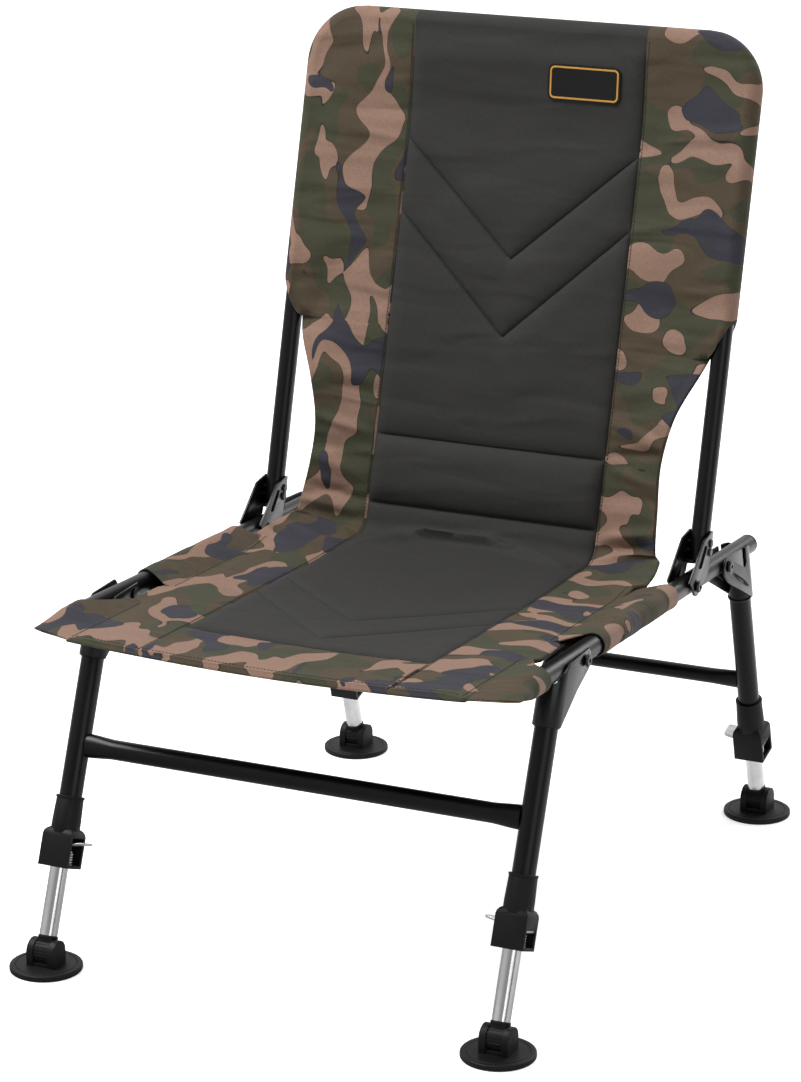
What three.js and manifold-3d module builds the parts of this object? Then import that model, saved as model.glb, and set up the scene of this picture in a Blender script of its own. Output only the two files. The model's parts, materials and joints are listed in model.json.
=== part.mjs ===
// Carp fishing chair: a low folding chair with a padded sling seat on two side rails, a padded back
// on one bent tube, and four telescopic legs that end in swivel feet.
// Millimetres. X runs across the chair, Y to the rear and Z up; the origin is on the floor, midway
// between the four feet.
import * as THREE from "three";
import { mergeVertices } from "three/addons/utils/BufferGeometryUtils.js";
import Module from "manifold-3d";

const wasm = await Module();
wasm.setup();

// The stance: places in side view, and the lean of each folding frame
const halfTrack = 235;
const halfFootBase = 339;
const footPivotHeight = 18;
const frontLegLean = THREE.MathUtils.degToRad(21.3);
const rearLegLean = THREE.MathUtils.degToRad(16.16);
const backLean = THREE.MathUtils.degToRad(14.6);
const frontLegOffset = 38.9;
const frontLegDrop = 349;
const rearLegOffset = 54.9;
const rearLegDrop = 325;

// Fits
const seatGap = 0.3;
const cheekClearance = 0.5;
const cutOverrun = 5;
const mergeTolerance = 0.0001;

// Facet counts
const tubeSides = 12;
const sleeveSides = 12;
const turnedSides = 12;
const boltSides = 10;
const rivetSides = 8;
const plateHoleSides = 16;
const footSides = 20;
const bendSteps = 5;
const arcSteps = 4;

// Side rails
const railRadius = 10;
const railWall = 1.5;
const railFrontReach = 106;
const railRearReach = 90;
const backPivotAhead = 86;
const capPlugLength = 14;
const capHeadLength = 4;
const capEdgeRadius = 3;

// Pivot bolts
const boltRadius = 3;
const boltHeadRadius = 6;
const boltHeadHeight = 3.5;
const boltTailRadius = 5.5;
const boltTailHeight = 2;
const boltChamfer = 0.8;

// Leg tubes, cross tubes and the inner legs
const legRadius = 11;
const legWall = 1.4;
const frontCrossDrop = 150;
const rearCrossDrop = 176;
const frontCrossRadius = 9.5;
const rearCrossRadius = 8;
const crossWall = 1.3;
const crossFlareLength = 32;
const crossFlareRise = 2;
const crossFlareDraw = 1.5;
const innerLegRadius = 8.75;
const innerLegWall = 1.4;
const innerLegTop = 210;

// Pressed leg brackets
const legCheekThick = 2;
const legEyeRadius = 12;
const frontBracketReach = 65.4;
const rearBracketReach = 71.5;
const frontEyeArc = [75, -35];
const rearEyeArc = [105, 215];

// Adjusters at the lower ends of the leg tubes: the drop of the box from the folding pivot is the
// same on all four, so the rear legs are drawn out less than the front ones
const boxDrop = 268;
const boxHeight = 38;
const boxWidth = 31.5;
const boxDepth = 28.5;
const boxWall = 1.8;
const boxFloor = 2;
const boxRoof = 5;
const boxShoulder = 8;
const collarHeight = 30;
const collarFootRadius = 14.25;
const collarTopRadius = 13.3;
const tubeSeatHeight = 5;
const windowSill = 3;
const innerWindowWidth = 22;
const innerWindowHeight = 26;
const outerWindowWidth = 22;

// Jam plates
const plateThick = 2.2;
const plateLength = 44;
const plateWidth = 24;
const plateEndWidth = 20;
const plateHoleRadius = 9.6;
const plateCornerRadius = 4;
const plateShoulderClearance = 1;
const plateHingeOut = 15;
const plateHingeHeight = 17.5;
const plateTilt = THREE.MathUtils.degToRad(10.8);
const platePress = THREE.MathUtils.degToRad(9);

// Springs under the jam plates
const springWire = 1.5;
const springTurns = 5;
const springStepsPerTurn = 8;
const springWireSides = 5;
const springLeastGap = 0.4;

// Feet
const footRadius = 35;
const footThick = 6;
const footSoleInset = 3.5;
const footEdgeHeight = 2;
const lugWidth = 7;
const lugRadius = 12.5;
const hubWidth = 14.6;
const hubRadius = 11.5;
const trunnionRadius = 4;
const neckRadius = 9.5;
const neckHeight = 2.2;
const hubPlugLength = 20;
const hubPlugWall = 2;

// Back frame and its brackets, in the leaning frame of the back
const backTubeRadius = 9.5;
const backTubeWall = 1.2;
const backTubeOffset = 28.3;
const backTubeFoot = 24;
const backTubeTop = 531;
const backBendRadius = 48;
const backCheekThick = 2;
const backEyeRadius = 10;
const backBracketTop = 54;
const backEyeArc = [200, 340];
const rivetRadius = 2.2;
const rivetHeadRadius = 4.2;
const rivetHeadHeight = 1.6;
const rivetHeights = { upper: 42, lower: 33.5 };
const rivetInset = 2.5;

// Covers: the sling seat and the back share these
const fabricHalf = 2;
const panelInset = 109;
const seamShoulder = 6;
const shoulderShare = 0.75;
const edgeFillShare = 0.15;
const padRise = 7;
const padBackRise = 2.5;
const sleeveRadius = 12.5;
const sleeveFlare = 9.5;

// Seat cover: places along the rails from the front pivot, and insets from the rails' centre lines.
// The rails stop inside the front sleeves, and the corners of the cover lie flat ahead of them.
const seatFrontOverhang = 61;
const seatFrontInset = 32;
const seatCornerOverhang = 42;
const seatCornerOutset = 12;
const seatSleeveOverhang = 10;
const seatSleeveEnd = 3;
const seatSleeveGapFront = -83;
const seatSleeveGapRear = 52;
const seatSleeveAhead = 50;
const seatGapInset = 16.5;
const seatWaistInset = 40;
const seatWaistAhead = 24;
const seatCreaseReach = 26;
const seatSag = 5;
const seatFrontSeam = -72;
const seatSeamSides = [69, 131];
const seatSeamApexes = [-44, 24];

// Back cover: heights in the leaning frame of the back, drops below its top tube, and insets from
// the tube's centre line
const backCoverFoot = 11;
const backSleeveFoot = 236;
const backGapInset = 10.5;
const backWaistInsets = [40, 44, 46, 37, 16];
const backWaistHeights = [backCoverFoot, 61, 117, 159, 211];
const backLumbarLow = 40;
const backLumbarHigh = 110;
const bendRowShares = [0, 0.5, 0.83];
const backSeamSideDrops = [191, 117];
const backSeamApexDrops = [310, 231];

// Badge
const badgeWidth = 78;
const badgeHeight = 36;
const badgeThick = 2;
const badgeCorner = 4;
const badgeAcross = 64;
const badgeDrop = 51;

// Finishes
const finish = {
  blackTube: { color: 0x1b1b1d, roughness: 0.42, metalness: 0.2 },
  greyBracket: { color: 0x3a3a3e, roughness: 0.35, metalness: 0.4 },
  blackPlastic: { color: 0x141415, roughness: 0.6, metalness: 0 },
  chrome: { color: 0xc8cace, roughness: 0.12, metalness: 1 },
  zinc: { color: 0xb9bbb8, roughness: 0.28, metalness: 1 },
  boltSteel: { color: 0x4a4a4e, roughness: 0.35, metalness: 0.8 },
  camoFabric: { color: 0x5f574a, roughness: 0.85, metalness: 0 },
  rubberPatch: { color: 0x1a1a1a, roughness: 0.7, metalness: 0 },
};

// Places worked out from the stance: the pivots of the three folding frames, and the rail's slope
const frontPivot = legPivot(-halfFootBase, -frontLegLean, -frontLegOffset, frontLegDrop);
const rearPivot = legPivot(halfFootBase, rearLegLean, rearLegOffset, rearLegDrop);
const pivotSpan = Math.hypot(rearPivot.y - frontPivot.y, rearPivot.z - frontPivot.z);
const railSlope = Math.atan2(rearPivot.z - frontPivot.z, rearPivot.y - frontPivot.y);
const backPivotAlong = pivotSpan - backPivotAhead;
const railRearEnd = pivotSpan + railRearReach;
const seatCrease = backPivotAlong + seatCreaseReach;
const panelHalf = halfTrack - panelInset;
const seatFront = -railFrontReach - seatFrontOverhang;
const seatCorner = -railFrontReach - seatCornerOverhang;
const seatSleeveFront = -railFrontReach - seatSleeveOverhang;
const seatSleeveRear = backPivotAlong - seatSleeveAhead;
const seatWaistStart = backPivotAlong - seatWaistAhead;
const seatFrontHalf = halfTrack - seatFrontInset;
const seatCornerHalf = halfTrack + seatCornerOutset;
const seatGapHalf = halfTrack - seatGapInset;
const seatWaistHalf = halfTrack - seatWaistInset;
const backGapHalf = halfTrack - backGapInset;
const backWaistHalves = backWaistInsets.map((inset) => halfTrack - inset);
const legCheekInner = legRadius + cheekClearance;
const legCheekOuter = legCheekInner + legCheekThick;
const backCheekInner = railRadius + cheekClearance;
const backCheekOuter = backCheekInner + backCheekThick;
const boltHoleRadius = boltRadius + seatGap;

function legPivot(footY, lean, offset, drop) {
  const reach = turned(offset, -drop, lean);
  return new THREE.Vector3(0, footY - reach.y, footPivotHeight - reach.z);
}

// A point (y, z) turned about the X axis
function turned(y, z, angle) {
  const cos = Math.cos(angle);
  const sin = Math.sin(angle);
  return { y: y * cos - z * sin, z: y * sin + z * cos };
}

// Solids

// A mesh with its shared vertices merged, no empty triangles and all faces pointing out
function closed(geometry) {
  const bare = new THREE.BufferGeometry();
  bare.setAttribute("position", geometry.getAttribute("position"));
  bare.setIndex(geometry.getIndex());
  const merged = mergeVertices(bare, mergeTolerance);
  const position = merged.getAttribute("position");
  const index = merged.getIndex().array;
  const corners = [new THREE.Vector3(), new THREE.Vector3(), new THREE.Vector3()];
  const kept = [];
  let volume = 0;
  for (let i = 0; i < index.length; i += 3) {
    const triangle = [index[i], index[i + 1], index[i + 2]];
    if (new Set(triangle).size < triangle.length) continue;
    corners.forEach((corner, k) => corner.fromBufferAttribute(position, triangle[k]));
    volume += corners[0].dot(corners[1].clone().cross(corners[2]));
    kept.push(triangle);
  }
  const facing = volume > 0 ? kept : kept.map(([a, b, c]) => [a, c, b]);
  const result = new THREE.BufferGeometry();
  result.setAttribute("position", position);
  result.setIndex(facing.flat());
  return result;
}

function toSolid(geometry) {
  const mesh = closed(geometry);
  return new wasm.Manifold(
    new wasm.Mesh({
      numProp: 3,
      vertProperties: new Float32Array(mesh.getAttribute("position").array),
      triVerts: new Uint32Array(mesh.getIndex().array),
    }),
  );
}

function toGeometry(solid) {
  const mesh = solid.getMesh();
  const geometry = new THREE.BufferGeometry();
  geometry.setAttribute("position", new THREE.BufferAttribute(new Float32Array(mesh.vertProperties), 3));
  geometry.setIndex(new THREE.BufferAttribute(new Uint32Array(mesh.triVerts), 1));
  return geometry;
}

function joined(...geometries) {
  const solids = geometries.map(toSolid);
  return toGeometry(solids.reduce((sum, solid) => sum.add(solid)));
}

function cut(geometry, ...tools) {
  return toGeometry(tools.map(toSolid).reduce((rest, tool) => rest.subtract(tool), toSolid(geometry)));
}

function common(first, second) {
  return toGeometry(toSolid(first).intersect(toSolid(second)));
}

// Outlines

function circlePoints(radius, sides) {
  return ellipsePoints(radius, radius, sides);
}

function ellipsePoints(halfWidth, halfHeight, sides) {
  const points = [];
  for (let i = 0; i < sides; i += 1) {
    const angle = ((i + 0.5) / sides) * 2 * Math.PI;
    points.push(new THREE.Vector2(halfWidth * Math.cos(angle), halfHeight * Math.sin(angle)));
  }
  return points;
}

function arcPoints(x, y, radius, from, to, steps = arcSteps) {
  const points = [];
  for (let i = 0; i <= steps; i += 1) {
    const angle = THREE.MathUtils.degToRad(from + ((to - from) * i) / steps);
    points.push(new THREE.Vector2(x + radius * Math.cos(angle), y + radius * Math.sin(angle)));
  }
  return points;
}

function roundedBox(halfWidth, halfHeight, radius) {
  const x = halfWidth - radius;
  const y = halfHeight - radius;
  return [
    ...arcPoints(x, y, radius, 0, 90),
    ...arcPoints(-x, y, radius, 90, 180),
    ...arcPoints(-x, -y, radius, 180, 270),
    ...arcPoints(x, -y, radius, 270, 360),
  ];
}

// An outline given as shares of two named sizes
function sharedPoints(shares, across, up) {
  return shares.map(([acrossShare, upShare]) => new THREE.Vector2(acrossShare * across, upShare * up));
}

// Bodies from outlines

function prism(points, from, to, holes = []) {
  const shape = new THREE.Shape(points);
  shape.holes = holes.map((hole) => new THREE.Path(hole));
  const geometry = new THREE.ExtrudeGeometry(shape, { depth: to - from, bevelEnabled: false });
  return geometry.translate(0, 0, from);
}

// A side outline in (y, z), drawn out along X
function sidePrism(points, from, to, holes = []) {
  const sideways = new THREE.Matrix4().makeBasis(
    new THREE.Vector3(0, 1, 0),
    new THREE.Vector3(0, 0, 1),
    new THREE.Vector3(1, 0, 0),
  );
  return prism(points, from, to, holes).applyMatrix4(sideways);
}

function rod(radius, from, to, sides = tubeSides) {
  return prism(circlePoints(radius, sides), from, to);
}

function pipe(radius, wall, from, to) {
  return prism(circlePoints(radius, tubeSides), from, to, [circlePoints(radius - wall, tubeSides)]);
}

function rodAcross(radius, from, to, sides = boltSides) {
  return rod(radius, from, to, sides).rotateY(Math.PI / 2);
}

// A rod along Y, which is along the rails
function rodAlong(radius, from, to, sides = tubeSides) {
  return rod(radius, from, to, sides).rotateX(-Math.PI / 2);
}

// A turned body from (radius, height) pairs that start and end on the axis
function turnedBody(profile, sides = turnedSides) {
  const points = profile.map(([radius, height]) => new THREE.Vector2(radius, height));
  return closed(new THREE.LatheGeometry(points, sides, Math.PI / sides).rotateX(Math.PI / 2));
}

// A curve that steps through chosen stations, so that straight runs take one step
class StationCurve extends THREE.Curve {
  constructor(stations) {
    super();
    this.stations = stations;
  }

  stationAt(u) {
    return this.stations[Math.round(u * (this.stations.length - 1))];
  }

  getPointAt(u) {
    return this.stationAt(u).point.clone();
  }

  getTangentAt(u) {
    return this.stationAt(u).tangent.clone();
  }
}

function sweep(points, stations, holes = []) {
  const shape = new THREE.Shape(points);
  shape.holes = holes.map((hole) => new THREE.Path(hole));
  const extrudePath = new StationCurve(stations);
  return new THREE.ExtrudeGeometry(shape, { steps: stations.length - 1, extrudePath });
}

// Stations of the upside-down U of the back frame, from its left foot to its right foot
function backFrameStations(foot) {
  const side = halfTrack - backBendRadius;
  const shoulder = backTubeTop - backBendRadius;
  const stations = [];
  const add = (x, z, dx, dz) => {
    stations.push({ point: new THREE.Vector3(x, 0, z), tangent: new THREE.Vector3(dx, 0, dz) });
  };
  add(-halfTrack, foot, 0, 1);
  for (let i = 0; i <= bendSteps; i += 1) {
    const angle = (i / bendSteps) * (Math.PI / 2);
    const cos = Math.cos(angle);
    const sin = Math.sin(angle);
    add(-side - backBendRadius * cos, shoulder + backBendRadius * sin, sin, cos);
  }
  for (let i = bendSteps; i >= 0; i -= 1) {
    const angle = (i / bendSteps) * (Math.PI / 2);
    const cos = Math.cos(angle);
    const sin = Math.sin(angle);
    add(side + backBendRadius * cos, shoulder + backBendRadius * sin, sin, -cos);
  }
  add(halfTrack, foot, 0, -1);
  return stations;
}

// A closed body through rings of equal count, with its two ends filled
function loft(rings) {
  const count = rings[0].length;
  const positions = rings.flat().flatMap((point) => point.toArray());
  const index = [];
  for (let r = 0; r + 1 < rings.length; r += 1) {
    for (let i = 0; i < count; i += 1) {
      const a = r * count + i;
      const b = r * count + ((i + 1) % count);
      index.push(a, b, a + count, b, b + count, a + count);
    }
  }
  const last = (rings.length - 1) * count;
  for (let i = 1; i + 1 < count; i += 1) {
    index.push(0, i + 1, i, last, last + i, last + i + 1);
  }
  const geometry = new THREE.BufferGeometry();
  geometry.setAttribute("position", new THREE.Float32BufferAttribute(positions, 3));
  geometry.setIndex(index);
  return closed(geometry);
}

// Scene graph

const chair = new THREE.Group();
const railGroup = leaningGroup(frontPivot, railSlope);
const frontLegGroup = leaningGroup(frontPivot, -frontLegLean);
const rearLegGroup = leaningGroup(rearPivot, rearLegLean);
const backPivot = alongRail(backPivotAlong);
const backGroup = leaningGroup(backPivot, -backLean);

function alongRail(distance) {
  const step = turned(distance, 0, railSlope);
  return new THREE.Vector3(0, frontPivot.y + step.y, frontPivot.z + step.z);
}

function leaningGroup(pivot, lean) {
  const group = new THREE.Group();
  group.position.copy(pivot);
  group.rotation.x = lean;
  chair.add(group);
  return group;
}

function addPiece(group, name, geometry, material, position = [0, 0, 0], turn = [0, 0, 0]) {
  const body = closed(geometry);
  body.computeVertexNormals();
  const mesh = new THREE.Mesh(body, new THREE.MeshStandardMaterial({ ...material, flatShading: true }));
  mesh.name = name;
  mesh.position.set(...position);
  mesh.rotation.set(...turn);
  group.add(mesh);
}

const sides = [
  { label: "left", sign: -1 },
  { label: "right", sign: 1 },
];

// Side rails with their end caps

function makeRail() {
  const bore = pipe(railRadius, railWall, -railFrontReach, railRearEnd).rotateX(-Math.PI / 2);
  const reach = railRadius + cutOverrun;
  const holes = [0, backPivotAlong, pivotSpan].map((along) =>
    rodAcross(boltHoleRadius, -reach, reach).translate(0, along, 0),
  );
  return cut(bore, ...holes);
}

// A plug in the tube's bore with a head as wide as the tube, its axis up
function makeCap(headRadius, boreRadius) {
  const plugRadius = boreRadius - seatGap;
  const bend = capEdgeRadius * Math.SQRT1_2;
  return turnedBody([
    [0, -capPlugLength],
    [plugRadius, -capPlugLength],
    [plugRadius, seatGap],
    [headRadius, seatGap],
    [headRadius, capHeadLength - capEdgeRadius],
    [headRadius - capEdgeRadius + bend, capHeadLength - capEdgeRadius + bend],
    [headRadius - capEdgeRadius, capHeadLength],
    [0, capHeadLength],
  ]);
}

function addRails() {
  const rail = makeRail();
  const cap = makeCap(railRadius, railRadius - railWall);
  for (const { label, sign } of sides) {
    const x = sign * halfTrack;
    addPiece(railGroup, `${label}_rail`, rail, finish.blackTube, [x, 0, 0]);
    const ends = [
      { end: "front", along: -railFrontReach, turn: Math.PI / 2 },
      { end: "rear", along: railRearEnd, turn: -Math.PI / 2 },
    ];
    for (const { end, along, turn } of ends) {
      addPiece(railGroup, `${label}_rail_${end}_cap`, cap, finish.blackPlastic, [x, along, 0], [turn, 0, 0]);
    }
  }
}

// Pivot bolts: a domed head outside and a flat riveted tail inside

function makePivotBolt(halfGrip) {
  const head = halfGrip + seatGap;
  return turnedBody(
    [
      [0, -head - boltTailHeight],
      [boltTailRadius - boltChamfer, -head - boltTailHeight],
      [boltTailRadius, -head],
      [boltRadius, -head],
      [boltRadius, head],
      [boltHeadRadius, head],
      [boltHeadRadius, head + boltHeadHeight / 2],
      [boltHeadRadius / 2, head + boltHeadHeight],
      [0, head + boltHeadHeight],
    ],
    boltSides,
  );
}

function addPivotBolts() {
  const places = [
    { label: "front", along: 0, halfGrip: legCheekOuter },
    { label: "back", along: backPivotAlong, halfGrip: backCheekOuter },
    { label: "rear", along: pivotSpan, halfGrip: legCheekOuter },
  ];
  for (const place of places) {
    const bolt = makePivotBolt(place.halfGrip);
    for (const { label, sign } of sides) {
      const name = `${label}_${place.label}_pivot_bolt`;
      const position = [sign * halfTrack, place.along, 0];
      addPiece(railGroup, name, bolt, finish.boltSteel, position, [0, (sign * Math.PI) / 2, 0]);
    }
  }
}

// Covers: a padded sheet whose rows follow the sewn seams, as a grid of front and rear points

const columns = [
  { panelShare: 0, outerShare: 0, fillShare: 1, flareShare: 0 },
  { panelShare: 0.55, outerShare: 0, fillShare: 0.97, flareShare: 0 },
  { panelShare: 0.95, outerShare: 0, fillShare: 0.7, flareShare: 0 },
  { panelShare: 1, outerShare: 0, fillShare: 0, flareShare: 0 },
  { panelShare: 1.05, outerShare: 0, fillShare: 0.25, flareShare: 0 },
  { panelShare: 1.05, outerShare: 0.35, fillShare: 0.35, flareShare: 0 },
  { panelShare: 1.05, outerShare: 0.7, fillShare: 0, flareShare: 0.12 },
  { panelShare: 1.05, outerShare: 1, fillShare: 0, flareShare: 1 },
];

// Columns from the left edge to the right edge, with the middle one once
const mirroredColumns = [
  ...columns.slice(1).reverse().map((column) => ({ ...column, sign: -1 })),
  ...columns.map((column) => ({ ...column, sign: 1 })),
];

function coverPoint(row, column, face, sag) {
  const inner = panelHalf * column.panelShare;
  const across = inner + (row.half - inner) * column.outerShare;
  const slant = Math.min(1, across / panelHalf);
  const along = row.apex + (row.side - row.apex) * slant;
  const rise = face > 0 ? padRise : padBackRise;
  const padding = rise * row.fillShare * column.fillShare;
  const flare = sleeveFlare * row.flareShare * column.flareShare;
  const dip = sag * (1 - (across / row.half) ** 2);
  return new THREE.Vector3(column.sign * across, along, face * (fabricHalf + padding + flare) - dip);
}

// Each ring of the loft goes over the front face of one row and back along its rear face
function paddedSheet(rows, sag) {
  const rings = rows.map((row) => {
    const front = mirroredColumns.map((column) => coverPoint(row, column, 1, sag));
    const rear = mirroredColumns.map((column) => coverPoint(row, column, -1, sag));
    return [...front, ...rear.reverse()];
  });
  const count = rings[0].length;
  const half = count / 2;
  const positions = rings.flat().flatMap((point) => point.toArray());
  const index = [];
  for (let r = 0; r + 1 < rings.length; r += 1) {
    for (let i = 0; i < count; i += 1) {
      const a = r * count + i;
      const b = r * count + ((i + 1) % count);
      index.push(a, b, a + count, b, b + count, a + count);
    }
  }
  const last = (rings.length - 1) * count;
  for (let i = 0; i + 1 < half; i += 1) {
    const low = count - 1 - i;
    index.push(i, low, i + 1, low, low - 1, i + 1);
    index.push(last + i, last + i + 1, last + low, last + low, last + i + 1, last + low - 1);
  }
  const geometry = new THREE.BufferGeometry();
  geometry.setAttribute("position", new THREE.Float32BufferAttribute(positions, 3));
  geometry.setIndex(index);
  return closed(geometry);
}

// Rows between two seams: a shoulder beside each seam, and full rows at the given places
function paddedRows(seams, fullPlaces, halfAt) {
  const rows = [];
  const add = (side, apex, fillShare) => {
    for (const { half, flareShare, at } of halfAt(side)) {
      rows.push({ side: at, apex: apex + (at - side), half, flareShare, fillShare });
    }
  };
  seams.forEach((seam, i) => {
    const next = seams[i + 1];
    add(seam.side, seam.apex, seam.fillShare);
    if (!next) return;
    const low = { side: seam.side + seam.shoulder, apex: seam.apex + seam.shoulder };
    const high = { side: next.side - next.shoulder, apex: next.apex - next.shoulder };
    if (seam.shoulder > 0) add(low.side, low.apex, shoulderShare);
    for (const place of fullPlaces.filter((each) => each > low.side && each < high.side)) {
      const share = (place - low.side) / (high.side - low.side);
      add(place, low.apex + share * (high.apex - low.apex), 1);
    }
    if (next.shoulder > 0) add(high.side, high.apex, shoulderShare);
  });
  return rows;
}

function seamAt(side, apex = side) {
  return { side, apex, fillShare: 0, shoulder: seamShoulder };
}

function edgeAt(side) {
  return { side, apex: side, fillShare: edgeFillShare, shoulder: 0 };
}

// Seat cover

// Half width of the seat cover at a place along the rails, with a step where a sleeve ends
function seatHalfAt(along) {
  const sleeve = { half: halfTrack, flareShare: 1 };
  const gap = { half: seatGapHalf, flareShare: 0 };
  const corner = { half: seatCornerHalf, flareShare: 0 };
  const steps = [
    { at: seatSleeveFront, first: corner, then: sleeve },
    { at: seatSleeveGapFront, first: sleeve, then: gap },
    { at: seatSleeveGapRear, first: gap, then: sleeve },
    { at: seatSleeveRear, first: sleeve, then: gap },
  ];
  const step = steps.find((each) => each.at === along);
  if (step) {
    return [
      { ...step.first, at: along - seatGap },
      { ...step.then, at: along + seatGap },
    ];
  }
  if (along <= seatFront) return [{ half: seatFrontHalf, flareShare: 0, at: along }];
  if (along < seatSleeveFront) return [{ ...corner, at: along }];
  if (along < seatSleeveGapFront) return [{ ...sleeve, at: along }];
  if (along < seatSleeveGapRear) return [{ ...gap, at: along }];
  if (along < seatSleeveRear) return [{ ...sleeve, at: along }];
  const share = Math.max(0, (along - seatWaistStart) / (seatCrease - seatWaistStart));
  return [{ half: seatGapHalf + share * (seatWaistHalf - seatGapHalf), flareShare: 0, at: along }];
}

function makeSeatCover() {
  const seams = [
    edgeAt(seatFront),
    seamAt(seatFrontSeam),
    ...seatSeamSides.map((side, i) => seamAt(side, seatSeamApexes[i])),
    edgeAt(seatCrease),
  ];
  const middles = [
    seatCorner,
    seatSleeveFront,
    (seatSleeveFront + seatSleeveGapFront) / 2,
    seatSleeveGapFront,
    (seatSleeveGapFront + seatSleeveGapRear) / 2,
    seatSleeveGapRear,
    (seatSeamSides[0] + seatSeamSides[1]) / 2,
    (seatSeamSides[1] + seatSleeveRear) / 2,
    seatSleeveRear,
    seatWaistStart,
  ];
  const sheet = paddedSheet(paddedRows(seams, middles, seatHalfAt), seatSag);
  const runs = [
    { from: seatSleeveFront, boreFrom: seatSleeveFront + seatSleeveEnd, to: seatSleeveGapFront },
    { from: seatSleeveGapRear, boreFrom: seatSleeveGapRear - cutOverrun, to: seatSleeveRear },
  ];
  const sleeves = [];
  const bores = [];
  for (const { sign } of sides) {
    for (const { from, boreFrom, to } of runs) {
      sleeves.push(rodAlong(sleeveRadius, from, to, sleeveSides).translate(sign * halfTrack, 0, 0));
      const bore = rodAlong(railRadius + seatGap, boreFrom, to + cutOverrun);
      bores.push(bore.translate(sign * halfTrack, 0, 0));
    }
  }
  return cut(joined(sheet, ...sleeves), ...bores);
}

// Back frame, brackets and rivets

function addBackFrame() {
  const inner = circlePoints(backTubeRadius - backTubeWall, tubeSides);
  const tube = sweep(circlePoints(backTubeRadius, tubeSides), backFrameStations(backTubeFoot), [inner]);
  const holes = [];
  const reach = backTubeRadius + cutOverrun;
  for (const { sign } of sides) {
    for (const height of Object.values(rivetHeights)) {
      const hole = rodAcross(rivetRadius + seatGap, -reach, reach, rivetSides);
      holes.push(hole.translate(sign * halfTrack, -rivetInset, height));
    }
  }
  const frame = cut(tube, ...holes);
  addPiece(backGroup, "back_frame", frame, finish.blackTube, [0, backTubeOffset, 0]);
}

// A U-shaped channel section in (x, y) round a tube, closed on the side that sign points to
function channelSection(inner, outer, tubeY, openY, sign) {
  const from = sign > 0 ? 0 : 180;
  const round = arcPoints(0, tubeY, outer, from, from + 180, 2 * arcSteps);
  const bore = arcPoints(0, tubeY, inner, from + 180, from, 2 * arcSteps);
  const first = round[0].x;
  return [
    new THREE.Vector2(first, openY),
    ...round,
    new THREE.Vector2(-first, openY),
    new THREE.Vector2((-first * inner) / outer, openY),
    ...bore,
    new THREE.Vector2((first * inner) / outer, openY),
  ];
}

// Where the rail's upper or lower face, with its gap, crosses a line up the frame at y
function railFaceAt(y, lean, face) {
  const slope = railSlope - lean;
  return y * Math.tan(slope) + (face * (railRadius + seatGap)) / Math.cos(slope);
}

const backFrontShares = [
  [0.28, 0.83],
  [-0.72, 0.055],
];
const backFootShares = [
  [0.4, 0.01],
  [0.97, 0.228],
];

function makeBackBracket() {
  const wrapEnd = backTubeOffset + backCheekOuter;
  const wrapFoot = railFaceAt(wrapEnd, -backLean, 1);
  const tip = backFrontShares[1][0] * backTubeOffset;
  const outline = [
    new THREE.Vector2(wrapEnd + cutOverrun, backBracketTop),
    new THREE.Vector2(backTubeOffset, backBracketTop),
    ...sharedPoints(backFrontShares, backTubeOffset, backBracketTop),
    ...arcPoints(0, 0, backEyeRadius, ...backEyeArc),
    ...sharedPoints(backFootShares, backTubeOffset, backBracketTop),
    new THREE.Vector2(backTubeOffset, wrapFoot),
    new THREE.Vector2(wrapEnd + cutOverrun, wrapFoot),
  ];
  const grip = backCheekOuter + cutOverrun;
  const section = channelSection(backCheekInner, backCheekOuter, backTubeOffset, tip - cutOverrun, 1);
  const channel = prism(section, -backEyeRadius - cutOverrun, backBracketTop + cutOverrun);
  const rivetHole = rodAcross(rivetRadius + seatGap, -grip, grip, rivetSides);
  const holes = Object.values(rivetHeights).map((height) =>
    rivetHole.clone().translate(0, backTubeOffset - rivetInset, height),
  );
  const boltHole = rodAcross(boltHoleRadius, -grip, grip);
  return cut(common(channel, sidePrism(outline, -grip, grip)), boltHole, ...holes);
}

function makeRivet() {
  const head = backCheekOuter + seatGap;
  return turnedBody(
    [
      [0, -head - rivetHeadHeight],
      [rivetHeadRadius / 2, -head - rivetHeadHeight],
      [rivetHeadRadius, -head],
      [rivetRadius, -head],
      [rivetRadius, head],
      [rivetHeadRadius, head],
      [rivetHeadRadius / 2, head + rivetHeadHeight],
      [0, head + rivetHeadHeight],
    ],
    rivetSides,
  );
}

function addBackBrackets() {
  const bracket = makeBackBracket();
  const rivet = makeRivet();
  const turn = [0, Math.PI / 2, 0];
  for (const { label, sign } of sides) {
    const x = sign * halfTrack;
    addPiece(backGroup, `${label}_back_bracket`, bracket, finish.greyBracket, [x, 0, 0]);
    for (const [level, height] of Object.entries(rivetHeights)) {
      const position = [x, backTubeOffset - rivetInset, height];
      addPiece(backGroup, `${label}_back_${level}_rivet`, rivet, finish.boltSteel, position, turn);
    }
  }
}

// Back cover

// Half width of the back cover at a height: the waist, the step at the sleeve, and the bent top
function backHalfAt(height) {
  const sleeve = { half: halfTrack, flareShare: 1 };
  if (height === backSleeveFoot) {
    return [
      { half: backGapHalf, flareShare: 0, at: height - seatGap },
      { ...sleeve, at: height + seatGap },
    ];
  }
  const shoulder = backTubeTop - backBendRadius;
  if (height > shoulder) {
    const rise = Math.min(height - shoulder, backBendRadius);
    const half = halfTrack - backBendRadius + Math.sqrt(backBendRadius ** 2 - rise ** 2);
    return [{ half, flareShare: 1, at: height }];
  }
  if (height > backSleeveFoot) return [{ ...sleeve, at: height }];
  const heights = [...backWaistHeights, backSleeveFoot];
  const halves = [...backWaistHalves, backGapHalf];
  const above = Math.max(1, heights.findIndex((each) => each >= height));
  const share = (height - heights[above - 1]) / (heights[above] - heights[above - 1]);
  const half = halves[above - 1] + share * (halves[above] - halves[above - 1]);
  return [{ half, flareShare: 0, at: height }];
}

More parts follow.
